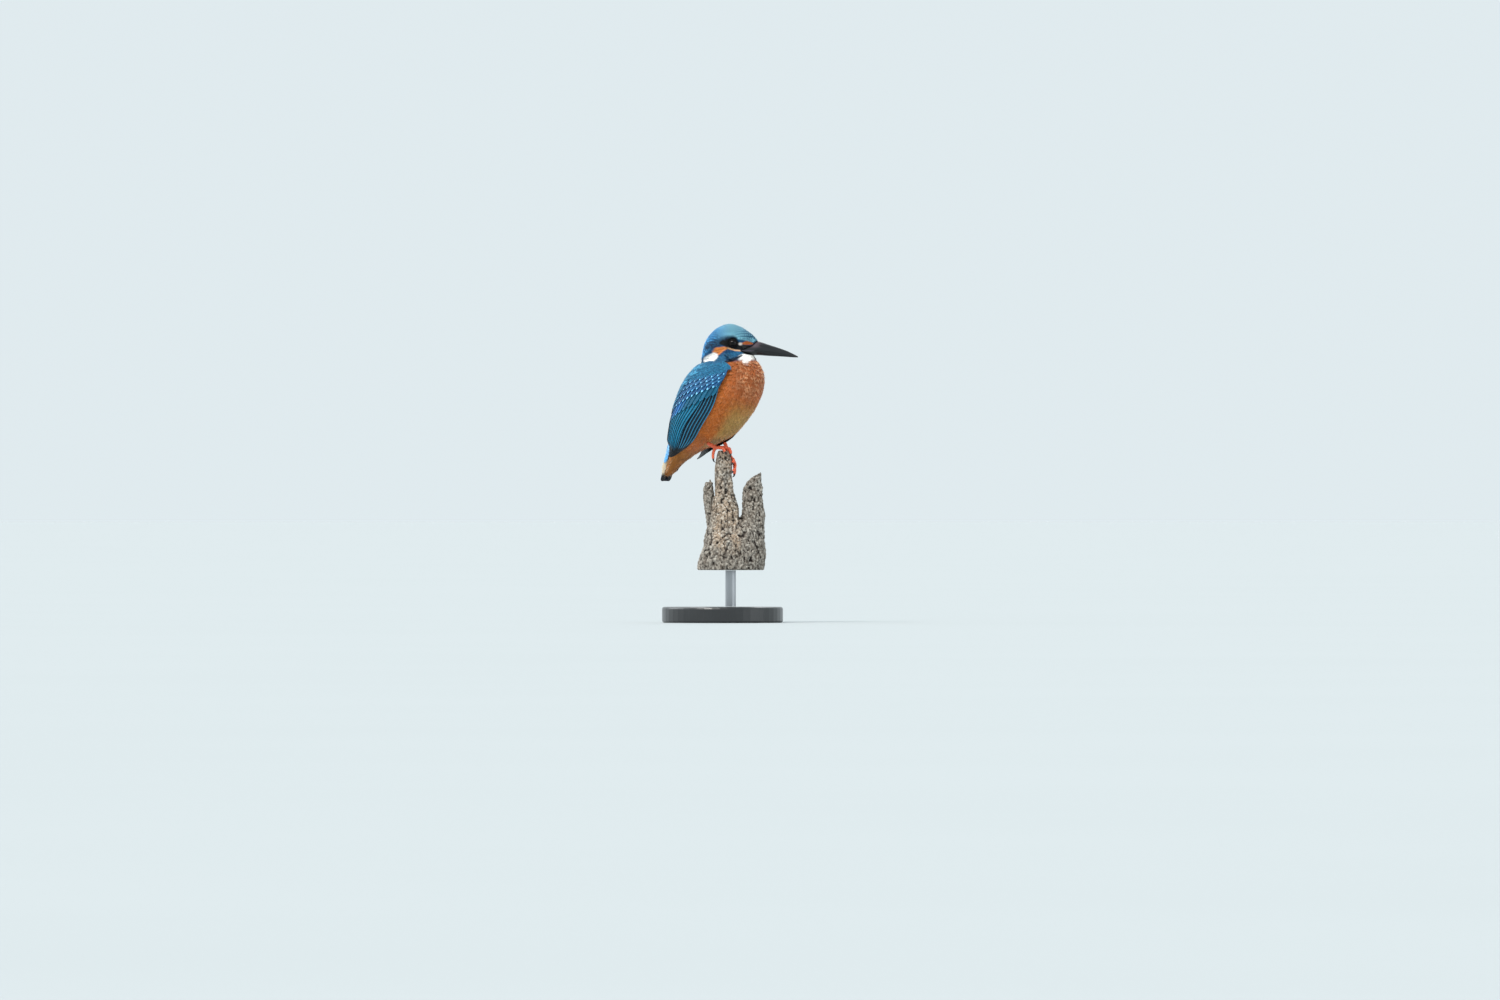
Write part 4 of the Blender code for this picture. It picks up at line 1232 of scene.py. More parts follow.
def make_tail(feather):
    """Six pairs of tail feathers, the outermost lowest."""
    chaos = np.random.default_rng(31)
    u = np.linspace(0.0, 1.0, 8)
    paths, ups = [], []
    for i in range(6):
        for side in (-1, 1):
            y = side * (0.3 + 0.7 * u) * (0.64 - 0.112 * i)
            height = -0.55 + 0.2 * i + (0.06 if side > 0 else 0.0)
            here, up = tail_point(u * (1.05 - 0.003 * i - TAIL_SKEW * y[-1]), y, height)
            paths.append(here)
            ups.append(up)
    paths, ups, count = np.array(paths), np.array(ups), len(paths)
    widths, still = np.full(count, 5.0), np.zeros(count)
    lie = {"sink": 0.0, "camber": 0.03, "thick": 0.07}
    points, t, v = grow(TAIL_BLADE, paths, ups, widths, still, chaos, **lie)
    piece = blade_object("tail_feathers", TAIL_BLADE, points, t, v, [RECTRIX] * count, 1, chaos)
    return finish_piece(piece, feather, ["tail"])


# Tail coverts: side of the tail, how far along it their first and last roots lie, their length, how
# far across they reach at the first and last, their rise at the edges and the middle, and their slope.
Coverts = namedtuple("Coverts", "name above first reach length spread edge_rise dome slope")
TAIL_COVERTS = [
    Coverts("tail_coverts_upper", 1, -0.14, 0.29, 0.34, (1.12, 1.04), -0.5, 5.3, 0.7),
    Coverts("tail_coverts_under", -1, 0.0, 0.6, 0.29, (0.75, 1.04), 0.8, 1.0, 0.25),
]


def covert_paths(kind, chaos):
    """Middle lines of one side's tail coverts, the way up along them, and their roots' places."""
    paths, ups, places = [], [], []
    for row, u0 in enumerate(np.linspace(kind.first, kind.reach, 11)):
        spread = kind.spread[0] + (kind.spread[1] - kind.spread[0]) * row / 10
        for share in np.linspace(-1, 1, 11) + 0.09 * (row % 2 - 0.5):
            u = u0 + chaos.uniform(-0.02, 0.02) + np.linspace(0, kind.length, 5)
            on_tail, y = np.clip(u, 0, 1), share * spread
            dome = math.sqrt(max(0.03, 1 - share * share))
            swell = (1 - 0.92 * on_tail) * dome * smoothstep(-0.2, 0.16, u)
            rise = kind.edge_rise + kind.dome * swell
            here, up = tail_point(on_tail, y * (1 - 0.1 * on_tail), kind.above * rise)
            here = here + np.minimum(u, 0)[:, None] * [-7.0, 0, -27.0]
            paths.append(here)
            ups.append(unit(up * kind.above * dome + np.array([0, y * kind.slope, 0])))
            places.append((u0, y))
    return np.array(paths), np.array(ups), np.array(places)


def make_tail_coverts(finish):
    """The long soft feathers that cover the tail's root: brilliant blue above, buff beneath."""
    chaos = np.random.default_rng(33)
    for kind in TAIL_COVERTS:
        paths, ups, places = covert_paths(kind, chaos)
        u0, y = places[:, 0], places[:, 1]
        count = len(paths)
        widths = chaos.uniform(3.2, 4.2, count)
        lift, fray = np.full(count, 0.4), Fray(0.14, 0.08, 0.08)
        points, t, v = grow(BODY_TUFT, paths, ups, widths, lift, chaos, fray=fray)
        if kind.above > 0:
            colour, mark, share = RUMP, AZURE, 0.7 * smoothstep(0.0, 0.22, u0)
        else:
            pale = smoothstep(0.25, 0.7, np.abs(y)) * smoothstep(0.0, 0.2, u0)
            colour, mark, share = UNDERTAIL, UNDERTAIL_EDGE, 0.95 * pale
        ground = mix(np.tile(colour, (count, 1)), mark, share)
        coat = Coat(ground, np.tile(mark, (count, 1)), np.tile([0.6, 1.1, 0.2], (count, 1)))
        bake = np.stack([0.5 + 0.4 * y, 0.1 + 0.8 * (u0 + 0.16)], 1)
        piece = coat_object(kind.name, BODY_TUFT, points, t, v, coat, chaos, bake)
        finish_piece(piece, finish)


# ---------------------------------------------------------------- bill and eyes

def bill_ring(x, upper):
    """A section of one half of the bill, its cutting edges along the gape."""
    turn = np.linspace(0, math.pi, 41)
    wide, high = superellipse(turn, bill_power(x))
    gape = GAPE_LINE(x)
    crest = BILL_TOP(x) if upper else BILL_BOTTOM(x)
    half = BILL_WIDTH(x) * (1.0 if upper else 0.985 - 0.055 * smoothstep(16.0, 24.0, x))
    edge = gape + (-0.12 if upper else 0.02)
    y, z = half * wide, edge + (crest - edge) * np.abs(high)
    flat = np.linspace(-1, 1, 11)[1:-1]
    inner = edge + (0.5 if upper else -0.4) * (1 - flat**2) * half / 4.3
    y, z = np.concatenate([y, half * flat]), np.concatenate([z, inner])
    return np.stack([np.full_like(y, x), y, z], -1)


def nostril_dent(local):
    """How deep the slit of a nostril and the groove before it lie at points beside the bill."""
    dx, dz = local[:, 0] - 24.6, local[:, 2] + 0.1
    c, s = math.cos(math.radians(-14)), math.sin(math.radians(-14))
    along, up = dx * c + dz * s, -dx * s + dz * c
    slit = 0.4 * np.exp(-((along / 1.3) ** 4) - (up / 0.3) ** 2)
    groove = 0.22 * np.exp(-(((along - 4) / 5.0) ** 2) - (up / 0.8) ** 2)
    return slit + groove


def make_bill(finish):
    """The bill's two horny halves, the upper one with its nostrils."""
    for name, upper in (("upper_bill", True), ("lower_bill", False)):
        x = BILL[0].x + (BILL[-1].x - BILL[0].x) * np.linspace(0, 1, 150) ** 0.94
        obj = loft_object(f"{name}_horn", [from_head(bill_ring(k, upper)) for k in x])
        points, _ = mesh_points(obj)
        local = to_head(points)
        if upper:
            local[:, 1] -= np.sign(local[:, 1]) * nostril_dent(local) * (np.abs(local[:, 1]) > 1.0)
        set_points(obj, from_head(local))
        # How much painted shade the nostril's slit and the groove before it get.
        nostril_shade = nostril_dent(local) / 0.4 if upper else np.zeros(len(local))
        add_attribute(obj, "shape", "FLOAT_VECTOR", np.stack([local[:, 0], local[:, 2], nostril_shade], 1))
        finish_piece(obj, finish, [name])


def eye_frame(side):
    """The eye's own axes: forward along the head, up, and outward."""
    out = unit(np.array([0.16, side, 0.06]))
    forward = unit(np.array([1.0, 0, 0]) - out * out[0])
    up = unit(np.cross(forward, out) * -side)
    return forward, up, out


def eye_cap(side, radius, angles, round_points, shape=None):
    """Rings on a ball about the eye's middle, at angles from its outward axis."""
    forward, up, out = eye_frame(side)
    turn = np.linspace(0, 2 * math.pi, round_points, endpoint=False)
    rings = []
    for angle, r in zip(angles, np.broadcast_to(radius, len(angles))):
        spread = angle * (np.ones_like(turn) if shape is None else shape(turn))
        ray = np.sin(spread)[:, None] * (np.cos(turn)[:, None] * forward + np.sin(turn)[:, None] * up)
        ray = ray + np.cos(spread)[:, None] * out
        rings.append(EYE_PLACE * [1, side, 1] + ray * r)
    return rings


def make_eyes(ball_finish, lid_finish):
    """Each eye as a ball with a bulging front, in a thick bare ring of lid."""
    for side, name in ((-1, "eye_right"), (1, "eye_left")):
        angles = np.radians(np.linspace(3, 176, 40))
        bulge = 3.5 + 0.12 * np.exp(-((angles / 0.5) ** 2))
        ball = loft_object(f"{name}_ball", [from_head(r) for r in eye_cap(side, bulge, angles, 48)])
        points, _ = mesh_points(ball)
        gap = to_head(points) - EYE_PLACE * [1, side, 1]
        forward, up, _ = eye_frame(side)
        add_attribute(ball, "iris", "FLOAT", np.hypot(gap @ forward, gap @ up))
        finish_piece(ball, ball_finish, [name])

        def almond(turn):
            return 1 + 0.17 * np.abs(np.cos(turn)) ** 5 - 0.03 * np.abs(np.sin(turn)) ** 3

        rings = []
        for share in np.linspace(0, 1, 11):
            angle = math.radians(50 + 26 * share)
            rise = 0.05 + 0.11 * math.sin(math.pi * min(1.0, 0.12 + 0.75 * share)) - 0.12 * share**3
            rings += eye_cap(side, 3.5 + rise, [angle], 56, almond)
        for radius, angle in ((3.0, 80), (3.3, 49)):
            rings += eye_cap(side, radius, [math.radians(angle)], 56, almond)
        lid = loft_ring(f"{name}_lid", [from_head(r) for r in rings])
        finish_piece(lid, lid_finish)


def loft_ring(name, rings):
    """A closed ring-shaped surface: the last section joins the first."""
    rings = np.asarray(rings, float)
    rows, columns = rings.shape[:2]
    faces = grid_faces(rows + 1, columns, closed=True) % (rows * columns)
    return make_mesh(name, rings.reshape(-1, 3), faces)


# ---------------------------------------------------------------- feet

Foot = namedtuple("Foot", "ball heel toes")
FEET = {
    "right": Foot(
        (-5.2, -1.2, 1.0),
        (-11.5, 1.5, 4.5),
        {
            "hallux": [(-6.6, -1.0, -1.6), (-7.2, -1.6, -4.8), (-7.0, -2.0, -7.6)],
            "inner": [(-1.0, 0.6, 1.1), (3.0, 1.4, 0.9), (5.6, 1.2, -1.4)],
            "middle": [(-1.6, -1.8, 1.2), (2.6, -2.4, 1.0), (6.0, -3.0, -1.4), (6.2, -3.8, -4.0)],
            "outer": [(-2.8, -3.4, 0.8), (0.2, -4.8, 0.3), (2.2, -6.0, -2.4)],
        },
    ),
    "left": Foot(
        (6.2, 4.8, -6.6),
        (1.5, 8.4, 5.0),
        {
            "hallux": [(3.6, 6.8, -8.4), (0.2, 7.6, -10.8), (-2.2, 7.4, -13.2)],
            "inner": [(8.0, 2.0, -7.8), (8.4, -1.4, -8.8), (7.2, -3.8, -10.8)],
            "middle": [(8.8, 2.6, -9.6), (9.6, 0.2, -12.4), (9.2, -2.4, -15.2), (7.8, -4.2, -17.2)],
            "outer": [(8.4, 4.6, -10.4), (9.2, 3.2, -13.8), (9.4, 1.0, -17.2), (8.6, -1.4, -19.6)],
        },
    ),
}
SHANK_RADIUS, TOE_RADIUS = 1.4, 1.2
CLAW_LENGTH, CLAW_RADIUS, CLAW_STEPS, CLAW_AROUND = 3.2, 0.78, 26, 16


def smooth_route(points, steps):
    points = np.asarray(points, float)
    places = np.linspace(0, len(points) - 1, steps)
    return np.stack([Smooth(list(enumerate(points[:, k])))(places) for k in range(3)], 1)


def clear_of_wood(route, radius):
    """A route moved out from the snag's tip until a limb of that radius clears the wood."""
    moved = route.copy()
    tip = SPIRE[-1].up
    for i, (right, away, up) in enumerate(route):
        reach = radius + 0.42
        if up >= tip + reach:
            continue
        level = [float(SPIRE_AT[k](min(up, tip))) for k in range(4)]
        flat = np.array([right - level[0], away - level[1]])
        length = np.linalg.norm(flat)
        wood = 1 / math.hypot(flat[0] / length / level[2], flat[1] / length / level[3])
        flat *= max(length, wood * 1.03 + reach) / length
        moved[i] = (level[0] + flat[0], level[1] + flat[1], up)
    return moved


def tube_rings(route, radii, around):
    """Sections of a limb along a route that close to a point at both its ends."""
    route = np.asarray(route, float)
    run = unit(np.gradient(route, axis=0))
    up = np.array([0.3, 0.2, 1.0])
    turn = np.linspace(0, 2 * math.pi, around, endpoint=False)
    rings = []
    for point, ahead, radius in zip(route, run, radii):
        up = unit(up - ahead * (up @ ahead))
        side = np.cross(ahead, up)
        ring = np.cos(turn)[:, None] * side + np.sin(turn)[:, None] * up
        rings.append(point + ring * radius)
    return rings


def scuted(steps, length, root, tip):
    """A toe's radius along it: tapered, rounded at its end, with a ridge at each scute."""
    share = np.linspace(0, 1, steps)
    plain = root + (tip - root) * share
    scutes = (share * length / 0.85) % 1.0
    joints = 0.07 * np.sin(share * math.pi * 3) ** 2
    ends = np.sqrt(np.clip(1 - ((share - 0.93) / 0.075).clip(0, 1) ** 2, 0.02, 1))
    return plain * (1 + 0.075 * scutes - 0.03 + joints) * ends


def joined(name, objects):
    with bpy.context.temp_override(active_object=objects[0], selected_editable_objects=objects):
        bpy.ops.object.join()
    objects[0].name = name
    return objects[0]


def limb(name, route, radii, around=20):
    return loft_object(name, [from_snag(r) for r in tube_rings(route, radii, around)])


def make_claw(name, route, finish):
    """A claw that goes on from a toe's route and curves in to the wood."""
    end, run = route[-1], unit(route[-1] - route[-4])
    inward = unit(np.array([SPIRE[-3].right - end[0], SPIRE[-3].away - end[1], 0]))
    bend = ((-0.7, 0.0), (0.35 * CLAW_LENGTH, 0.05), (0.7 * CLAW_LENGTH, 0.7), (0.88 * CLAW_LENGTH, 1.75))
    knots = [end + run * ahead + inward * aside for ahead, aside in bend]
    share = np.linspace(0, 1, CLAW_STEPS)
    radii = CLAW_RADIUS * (1 - share**1.3 * 0.94)
    piece = limb(f"{name}_horn", smooth_route(knots, CLAW_STEPS), radii, CLAW_AROUND)
    add_attribute(piece, "share", "FLOAT", np.repeat(share, CLAW_AROUND))
    finish_piece(piece, finish, [name])


def make_foot(side, skin_finish, claw_finish):
    """A short shank and four toes that grip the snag's tip, joined in one skin, and the claws."""
    foot = FEET[side]
    shank = smooth_route([foot.ball, np.add(foot.ball, foot.heel) / 2, foot.heel], 30)
    limbs = [limb("shank", shank, scuted(30, 9, SHANK_RADIUS * 1.02, SHANK_RADIUS * 0.95))]
    across = np.linspace(-1, 1, 15)
    route = np.asarray(foot.ball) + np.outer(1.7 * across, [0.5, 0.3, 0.8])
    limbs.append(limb("ball", route, 1.75 * np.sqrt(np.clip(1 - across**2, 0.003, 1))))
    for toe, knots in foot.toes.items():
        start = np.asarray(foot.ball) + unit(np.subtract(foot.ball, knots[0])) * 0.4
        route = clear_of_wood(smooth_route([start, *knots], 60), TOE_RADIUS)
        length = np.linalg.norm(np.diff(route, axis=0), axis=1).sum()
        limbs.append(limb(toe, route, scuted(60, length, TOE_RADIUS, TOE_RADIUS * 0.78)))
        make_claw(f"claw_{side}_{toe}", route, claw_finish)
    finish_piece(joined(f"leg_{side}_skin", limbs), skin_finish, [f"leg_{side}"])


# ---------------------------------------------------------------- the snag

# The snag, in its own turned frame (right, away, up): height, middle, half width, half depth.
Level = namedtuple("Level", "up right away half_width half_depth")
STUMP = [
    Level(-92, 6.2, 0, 25.0, 18.5),
    Level(-84, 7.2, 0, 25.4, 18.8),
    Level(-74, 8.8, 0, 23.6, 18.0),
    Level(-66, 9.2, 0.5, 22.4, 16.0),
    Level(-60, 9.6, 1, 21.6, 13.0),
    Level(-54, 9.0, 1, 17.5, 8.0),
]
SPIRE = [
    Level(-68, 3.0, -2.0, 10.5, 9.5),
    Level(-54, 2.6, -1.5, 10.2, 8.5),
    Level(-44, 2.4, -0.8, 9.6, 7.6),
    Level(-35, 1.9, -0.3, 7.6, 7.0),
    Level(-26, 0.9, 0, 6.9, 6.6),
    Level(-18, 0.6, 0, 6.6, 6.2),
    Level(-11, 0.9, 0, 6.3, 5.8),
    Level(-5, 0.7, 0, 5.0, 5.0),
    Level(-1.2, 0.4, 0, 3.6, 3.8),
]
LEFT_SPLINTER = [
    Level(-68, -7.5, 1, 4.6, 6.0),
    Level(-54, -7.8, 1, 4.4, 5.0),
    Level(-42, -10.6, 1, 3.6, 4.4),
    Level(-31, -10.8, 1, 3.6, 3.6),
    Level(-25.5, -9.6, 1, 2.4, 2.2),
]
RIGHT_SPLINTER = [
    Level(-68, 23.0, 2, 9.2, 9.0),
    Level(-52, 23.2, 2, 9.0, 7.0),
    Level(-42, 23.3, 2, 8.0, 5.6),
    Level(-31, 22.9, 2, 7.0, 4.6),
    Level(-24, 24.4, 2, 5.0, 3.4),
    Level(-18.5, 28.4, 2, 1.2, 1.6),
]
SPIRE_AT = [Smooth([(v.up, v[k]) for v in SPIRE]) for k in range(1, 5)]

# Thin shards that stand on the broken tops: foot, tip, half width and half depth at the foot.
Shard = namedtuple("Shard", "foot tip wide deep")
SHARDS = [
    Shard((-12.3, 0.6, -36), (-12.6, 0.4, -24.6), 1.6, 2.0),
    Shard((-9.6, 2.0, -34), (-9.3, 1.6, -23.6), 1.6, 1.7),
    Shard((-10.8, -1.4, -36), (-10.9, -1.2, -26.6), 1.8, 1.4),
    Shard((-7.9, 0.4, -46), (-7.5, 0.2, -29.5), 1.5, 2.2),
    Shard((18.6, 0.8, -44), (17.4, 0.6, -31.5), 2.0, 2.6),
    Shard((20.6, 2.6, -38), (20.0, 2.4, -25.6), 1.9, 2.2),
    Shard((22.6, 0.2, -36), (22.8, 0.4, -22.4), 2.0, 1.8),
    Shard((25.6, 2.4, -32), (26.0, 2.4, -19.8), 1.9, 1.7),
    Shard((28.4, 1.6, -36), (28.9, 2.0, -17.4), 2.0, 1.8),
    Shard((27.2, 3.6, -36), (27.9, 3.4, -21.4), 1.6, 1.4),
    Shard((10.6, 2.0, -56), (11.4, 1.6, -45.0), 2.2, 3.0),
    Shard((14.6, 1.0, -58), (14.9, 0.8, -49.0), 2.2, 3.0),
]


def limb_form(name, levels, rows):
    turn = np.linspace(0, 2 * math.pi, 48, endpoint=False)
    tables = [Smooth([(v.up, v[k]) for v in levels]) for k in range(1, 5)]
    rings = []
    for up in np.linspace(levels[0].up, levels[-1].up, rows):
        right, away, wide, deep = (float(table(up)) for table in tables)
        ring = [right + wide * np.cos(turn), away + deep * np.sin(turn), np.full_like(turn, up)]
        rings.append(from_snag(np.stack(ring, -1)))
    return loft_object(name, rings)


def shard_form(shard):
    turn = np.linspace(0, 2 * math.pi, 14, endpoint=False)
    rings = []
    for share in np.linspace(0, 1, 12):
        middle = np.add(shard.foot, np.subtract(shard.tip, shard.foot) * share)
        size = 1 - 0.8 * share**1.8
        ring = [middle[0] + shard.wide * size * np.cos(turn), middle[1] + shard.deep * size * np.sin(turn)]
        rings.append(from_snag(np.stack([*ring, np.full_like(turn, middle[2])], -1)))
    return loft_object("shard", rings)


def wood_relief(points):
    """How far crumbling wood stands out, with grain, cracks, pits and crumbs, and how much painted shade
    its hollows get.
    """
    relief, hollow_shade = np.zeros(len(points)), np.zeros(len(points))
    for i, (x, y, z) in enumerate(points):
        twist = 0.012 * z
        a, b = x * math.cos(twist) - y * math.sin(twist), x * math.sin(twist) + y * math.cos(twist)
        sway = 1.6 * noise.noise(Vector((x * 0.06, y * 0.06, z * 0.05)))
        grain = noise.noise(Vector((a * 0.5 + sway, b * 0.5, z * 0.07)))
        split = 1 - abs(noise.noise(Vector((a * 0.2 + sway, b * 0.2 + 7, z * 0.03)))) * 2
        crack = max(0.0, split - 0.9) / 0.1
        across = 1 - abs(noise.noise(Vector((x * 0.12, y * 0.12 + 3, z * 0.4)))) * 2
        check = max(0.0, across - 0.86) / 0.14
        pit = max(0.0, noise.noise(Vector((a * 0.34 + 11, b * 0.34, z * 0.22))) - 0.34) * 3.0
        lump = noise.noise(Vector((x * 0.15, y * 0.15, z * 0.13 + 3)))
        crumb = noise.noise(Vector((x * 0.62 + 5, y * 0.62, z * 0.5)))
        grit = noise.noise(Vector((x * 1.3, y * 1.3 + 9, z * 1.1)))
        raised = 0.4 * grain + 0.8 * lump + 0.65 * crumb + 0.3 * grit
        split_open = 0.8 * crack + 0.35 * check
        relief[i] = raised - split_open - pit
        # The share of painted shade: dark in cracks, pits and between crumbs.
        hollow_shade[i] = min(1.0, split_open + 0.8 * pit + max(0.0, -1.5 * crumb - 0.8 * grit - 0.15))
    return relief, hollow_shade


def make_perch(finish):
    """The snag's broken tops melted into one piece of crumbling wood, cut level below."""
    limbs = [
        limb_form("stump", STUMP, 40),
        limb_form("spire", SPIRE, 60),
        limb_form("left_splinter", LEFT_SPLINTER, 40),
        limb_form("right_splinter", RIGHT_SPLINTER, 40),
        *(shard_form(shard) for shard in SHARDS),
    ]
    perch = melted("perch_wood", limbs, 0.55, 2)
    points, normals = mesh_points(perch)
    local = points @ SNAG_AXES
    relief, hollow_shade = wood_relief(local)
    calm = 1 - 0.75 * smoothstep(-24, -14, local[:, 2])
    base = smoothstep(-92.2, -91.0, local[:, 2])
    shift = relief * calm * base
    shift = np.where(local[:, 2] > -22, np.minimum(shift, 0.1), shift)
    set_points(perch, points + normals * shift[:, None])
    add_attribute(perch, "hollow_shade", "FLOAT", hollow_shade)
    right, _, wide, _ = (table(np.clip(local[:, 2], SPIRE[0].up, SPIRE[-1].up)) for table in SPIRE_AT)
    on_spire = smoothstep(1.2, 0.8, np.abs(local[:, 0] - right) / wide) * smoothstep(-86, -72, local[:, 2])
    add_attribute(perch, "warm", "FLOAT", on_spire)
    return finish_piece(perch, finish, ["perch"])


# ---------------------------------------------------------------- materials


def node(tree, kind, inputs=(), **settings):
    """A shader node with its settings and inputs, where a socket given as an input is linked."""
    made = tree.nodes.new(kind)
    for key, value in settings.items():
        setattr(made, key, value)
    for key, value in dict(inputs).items():
        if isinstance(value, bpy.types.NodeSocket):
            tree.links.new(value, made.inputs[key])
        else:
            made.inputs[key].default_value = value
    return made


def new_finish(name):
    made = bpy.data.materials.new(name)
    made.use_nodes = True
    return made, made.node_tree, made.node_tree.nodes["Principled BSDF"]


def math_node(tree, operation, *values, clamp=False):
    made = node(tree, "ShaderNodeMath", enumerate(values), operation=operation, use_clamp=clamp)
    return made.outputs[0]


def times(tree, a, b):
    return math_node(tree, "MULTIPLY", a, b)


def minus(tree, a, b):
    return math_node(tree, "SUBTRACT", a, b)


def scaled(tree, value, by, plus):
    return math_node(tree, "MULTIPLY_ADD", value, by, plus)


def soft_mask(tree, value, low, high):
    """Rises smoothly from 0 at low to 1 at high."""
    made = node(tree, "ShaderNodeMapRange", {"Value": value, "From Min": low, "From Max": high})
    made.interpolation_type = "SMOOTHSTEP"
    return made.outputs["Result"]


def blend(tree, share, a, b):
    """From colour a to colour b by a share. Colours are sockets, hex or linear values."""
    made = tree.nodes.new("ShaderNodeMix")
    made.data_type = "RGBA"
    for socket, value in ((made.inputs[0], share), (made.inputs[6], a), (made.inputs[7], b)):
        if isinstance(value, bpy.types.NodeSocket):
            tree.links.new(value, socket)
        elif isinstance(value, str):
            socket.default_value = (*linear(value), 1)
        else:
            socket.default_value = value
    return made.outputs[2]


def tint(tree, share, colour, over):
    """A colour laid over another by a share."""
    return blend(tree, share, over, colour)


def attribute(tree, name, kind="Color"):
    return node(tree, "ShaderNodeAttribute", attribute_name=name).outputs[kind]


def axes(tree, name):
    """The three parts of a vector stored at each point."""
    stored = attribute(tree, name, "Vector")
    return node(tree, "ShaderNodeSeparateXYZ", {"Vector": stored}).outputs


def object_noise(tree, scale, detail=2.0, stretch=None):
    """Noise in the object's own space, with scale in repeats per metre."""
    place = node(tree, "ShaderNodeTexCoord").outputs["Object"]
    if stretch:
        place = node(tree, "ShaderNodeMapping", {"Vector": place, "Scale": stretch}).outputs[0]
    inputs = {"Vector": place, "Scale": scale, "Detail": detail}
    return node(tree, "ShaderNodeTexNoise", inputs).outputs["Fac"]


def between_masks(tree, value, low, high, soft):
    start = soft_mask(tree, minus(tree, value, low), -soft, soft)
    end = soft_mask(tree, minus(tree, high, value), -soft, soft)
    return times(tree, start, end)


def dress(tree, shader, colour, rough, height, distance, strength):
    """Links a finish's colour, roughness and bump, whose distance is in metres."""
    bump = node(tree, "ShaderNodeBump", {"Height": height, "Distance": distance, "Strength": strength})
    tree.links.new(colour, shader.inputs["Base Color"])
    tree.links.new(rough, shader.inputs["Roughness"])
    tree.links.new(bump.outputs[0], shader.inputs["Normal"])


def set_numbers(shader, numbers):
    for name, value in numbers.items():
        shader.inputs[name].default_value = value


def marked(tree, along, beside, stiff):
    """How much a feather's tip mark shows. A stiff feather's may be a spot beside the shaft."""
    band = axes(tree, "band")
    share = times(tree, between_masks(tree, along, band["X"], band["Y"], 0.04), band["Z"])
    if stiff:
        reach = attribute(tree, "reach", "Fac")
        whole = math_node(tree, "LESS_THAN", reach, 0.01)
        spot = soft_mask(tree, minus(tree, reach, beside), -0.2, 0.2)
        share = times(tree, share, math_node(tree, "MAXIMUM", spot, whole))
    return math_node(tree, "MULTIPLY", share, 1.0, clamp=True)


def trimmed(tree, colour, share, across, beside):
    """A stiff feather's colour with its trimmed edge and its dark shaft."""
    edge = axes(tree, "edge")
    trim = times(tree, between_masks(tree, across, edge["X"], edge["Y"], 0.05), edge["Z"])
    trim = times(tree, trim, minus(tree, 1.0, share))
    colour = tint(tree, trim, attribute(tree, "trim"), colour)
    shaft = times(tree, soft_mask(tree, beside, 0.07, 0.03), 0.55)
    return tint(tree, shaft, (0.008, 0.014, 0.022, 1), colour)


def plumage_finish(name, stiff):
    """Feathers: ground colour, marked tips, trimmed edges, fine barbs and slight unevenness."""
    made, tree, shader = new_finish(name)
    vane = axes(tree, "vane")
    along, across, luck = vane["X"], vane["Y"], vane["Z"]
    beside = math_node(tree, "ABSOLUTE", across)
    share = marked(tree, along, beside, stiff)
    colour = tint(tree, share, attribute(tree, "mark"), attribute(tree, "ground"))
    if stiff:
        colour = trimmed(tree, colour, share, across, beside)

    slant = minus(tree, times(tree, along, 2.4 if stiff else 1.2), beside)
    barbs = math_node(tree, "SINE", times(tree, slant, 90.0 if stiff else 60.0))
    fleck, cloud = object_noise(tree, 700.0, 3.0), object_noise(tree, 90.0, 2.0)
    bright = scaled(tree, barbs, 0.06, 0.80)
    bright = scaled(tree, luck, 0.24, bright)
    bright = scaled(tree, minus(tree, fleck, 0.5), 0.5, bright)
    bright = scaled(tree, minus(tree, cloud, 0.5), 0.5, bright)
    bright = scaled(tree, along, 0.16, bright)
    shaded = node(tree, "ShaderNodeVectorMath", {"Scale": bright}, operation="SCALE")
    tree.links.new(colour, shaded.inputs[0])
    rough = scaled(tree, fleck, 0.2, 0.3 if stiff else 0.5)
    dress(tree, shader, shaded.outputs[0], rough, barbs, 0.00004, 0.5)
    sheen, specular = (0.04, 0.3) if stiff else (0.12, 0.22)
    gloss = {"Sheen Weight": sheen, "Sheen Roughness": 0.4, "Specular IOR Level": specular}
    set_numbers(shader, gloss)
    return made


def bill_finish():
    """Near-black horn, pale along the gape's corners, with a painted mauve-grey highlight at its root and
    painted shade at the nostrils.
    """
    made, tree, shader = new_finish("bill_horn")
    shape = axes(tree, "shape")
    along, up, nostril_shade = shape["X"], shape["Y"], shape["Z"]
    # Painted highlight: mauve-grey on the upper side of the bill's root, by the nostrils.
    root = times(tree, soft_mask(tree, along, 27.0, 20.0), soft_mask(tree, up, -2.6, 0.6))
    lip = times(tree, between_masks(tree, up, -4.0, -3.3, 0.2), soft_mask(tree, along, 21.0, 16.0))
    streak = object_noise(tree, 260.0, 4.0, (0.25, 0.25, 1.0))
    cloud = object_noise(tree, 120.0, 3.0)
    colour = blend(tree, streak, "#0c0d10", "#191b20")
    colour = tint(tree, times(tree, root, 0.6), "#6d5a63", colour)
    colour = tint(tree, times(tree, lip, 0.7), "#7c7488", colour)
    # Painted shade in the nostrils' slits and the grooves before them.
    colour = tint(tree, nostril_shade, "#050506", colour)
    tip = soft_mask(tree, along, 44.0, 53.0)
    colour = tint(tree, times(tree, tip, 0.35), "#3a3230", colour)
    dress(tree, shader, colour, scaled(tree, cloud, 0.25, 0.22), streak, 0.0001, 0.35)
    set_numbers(shader, {"Specular IOR Level": 0.45})
    return made


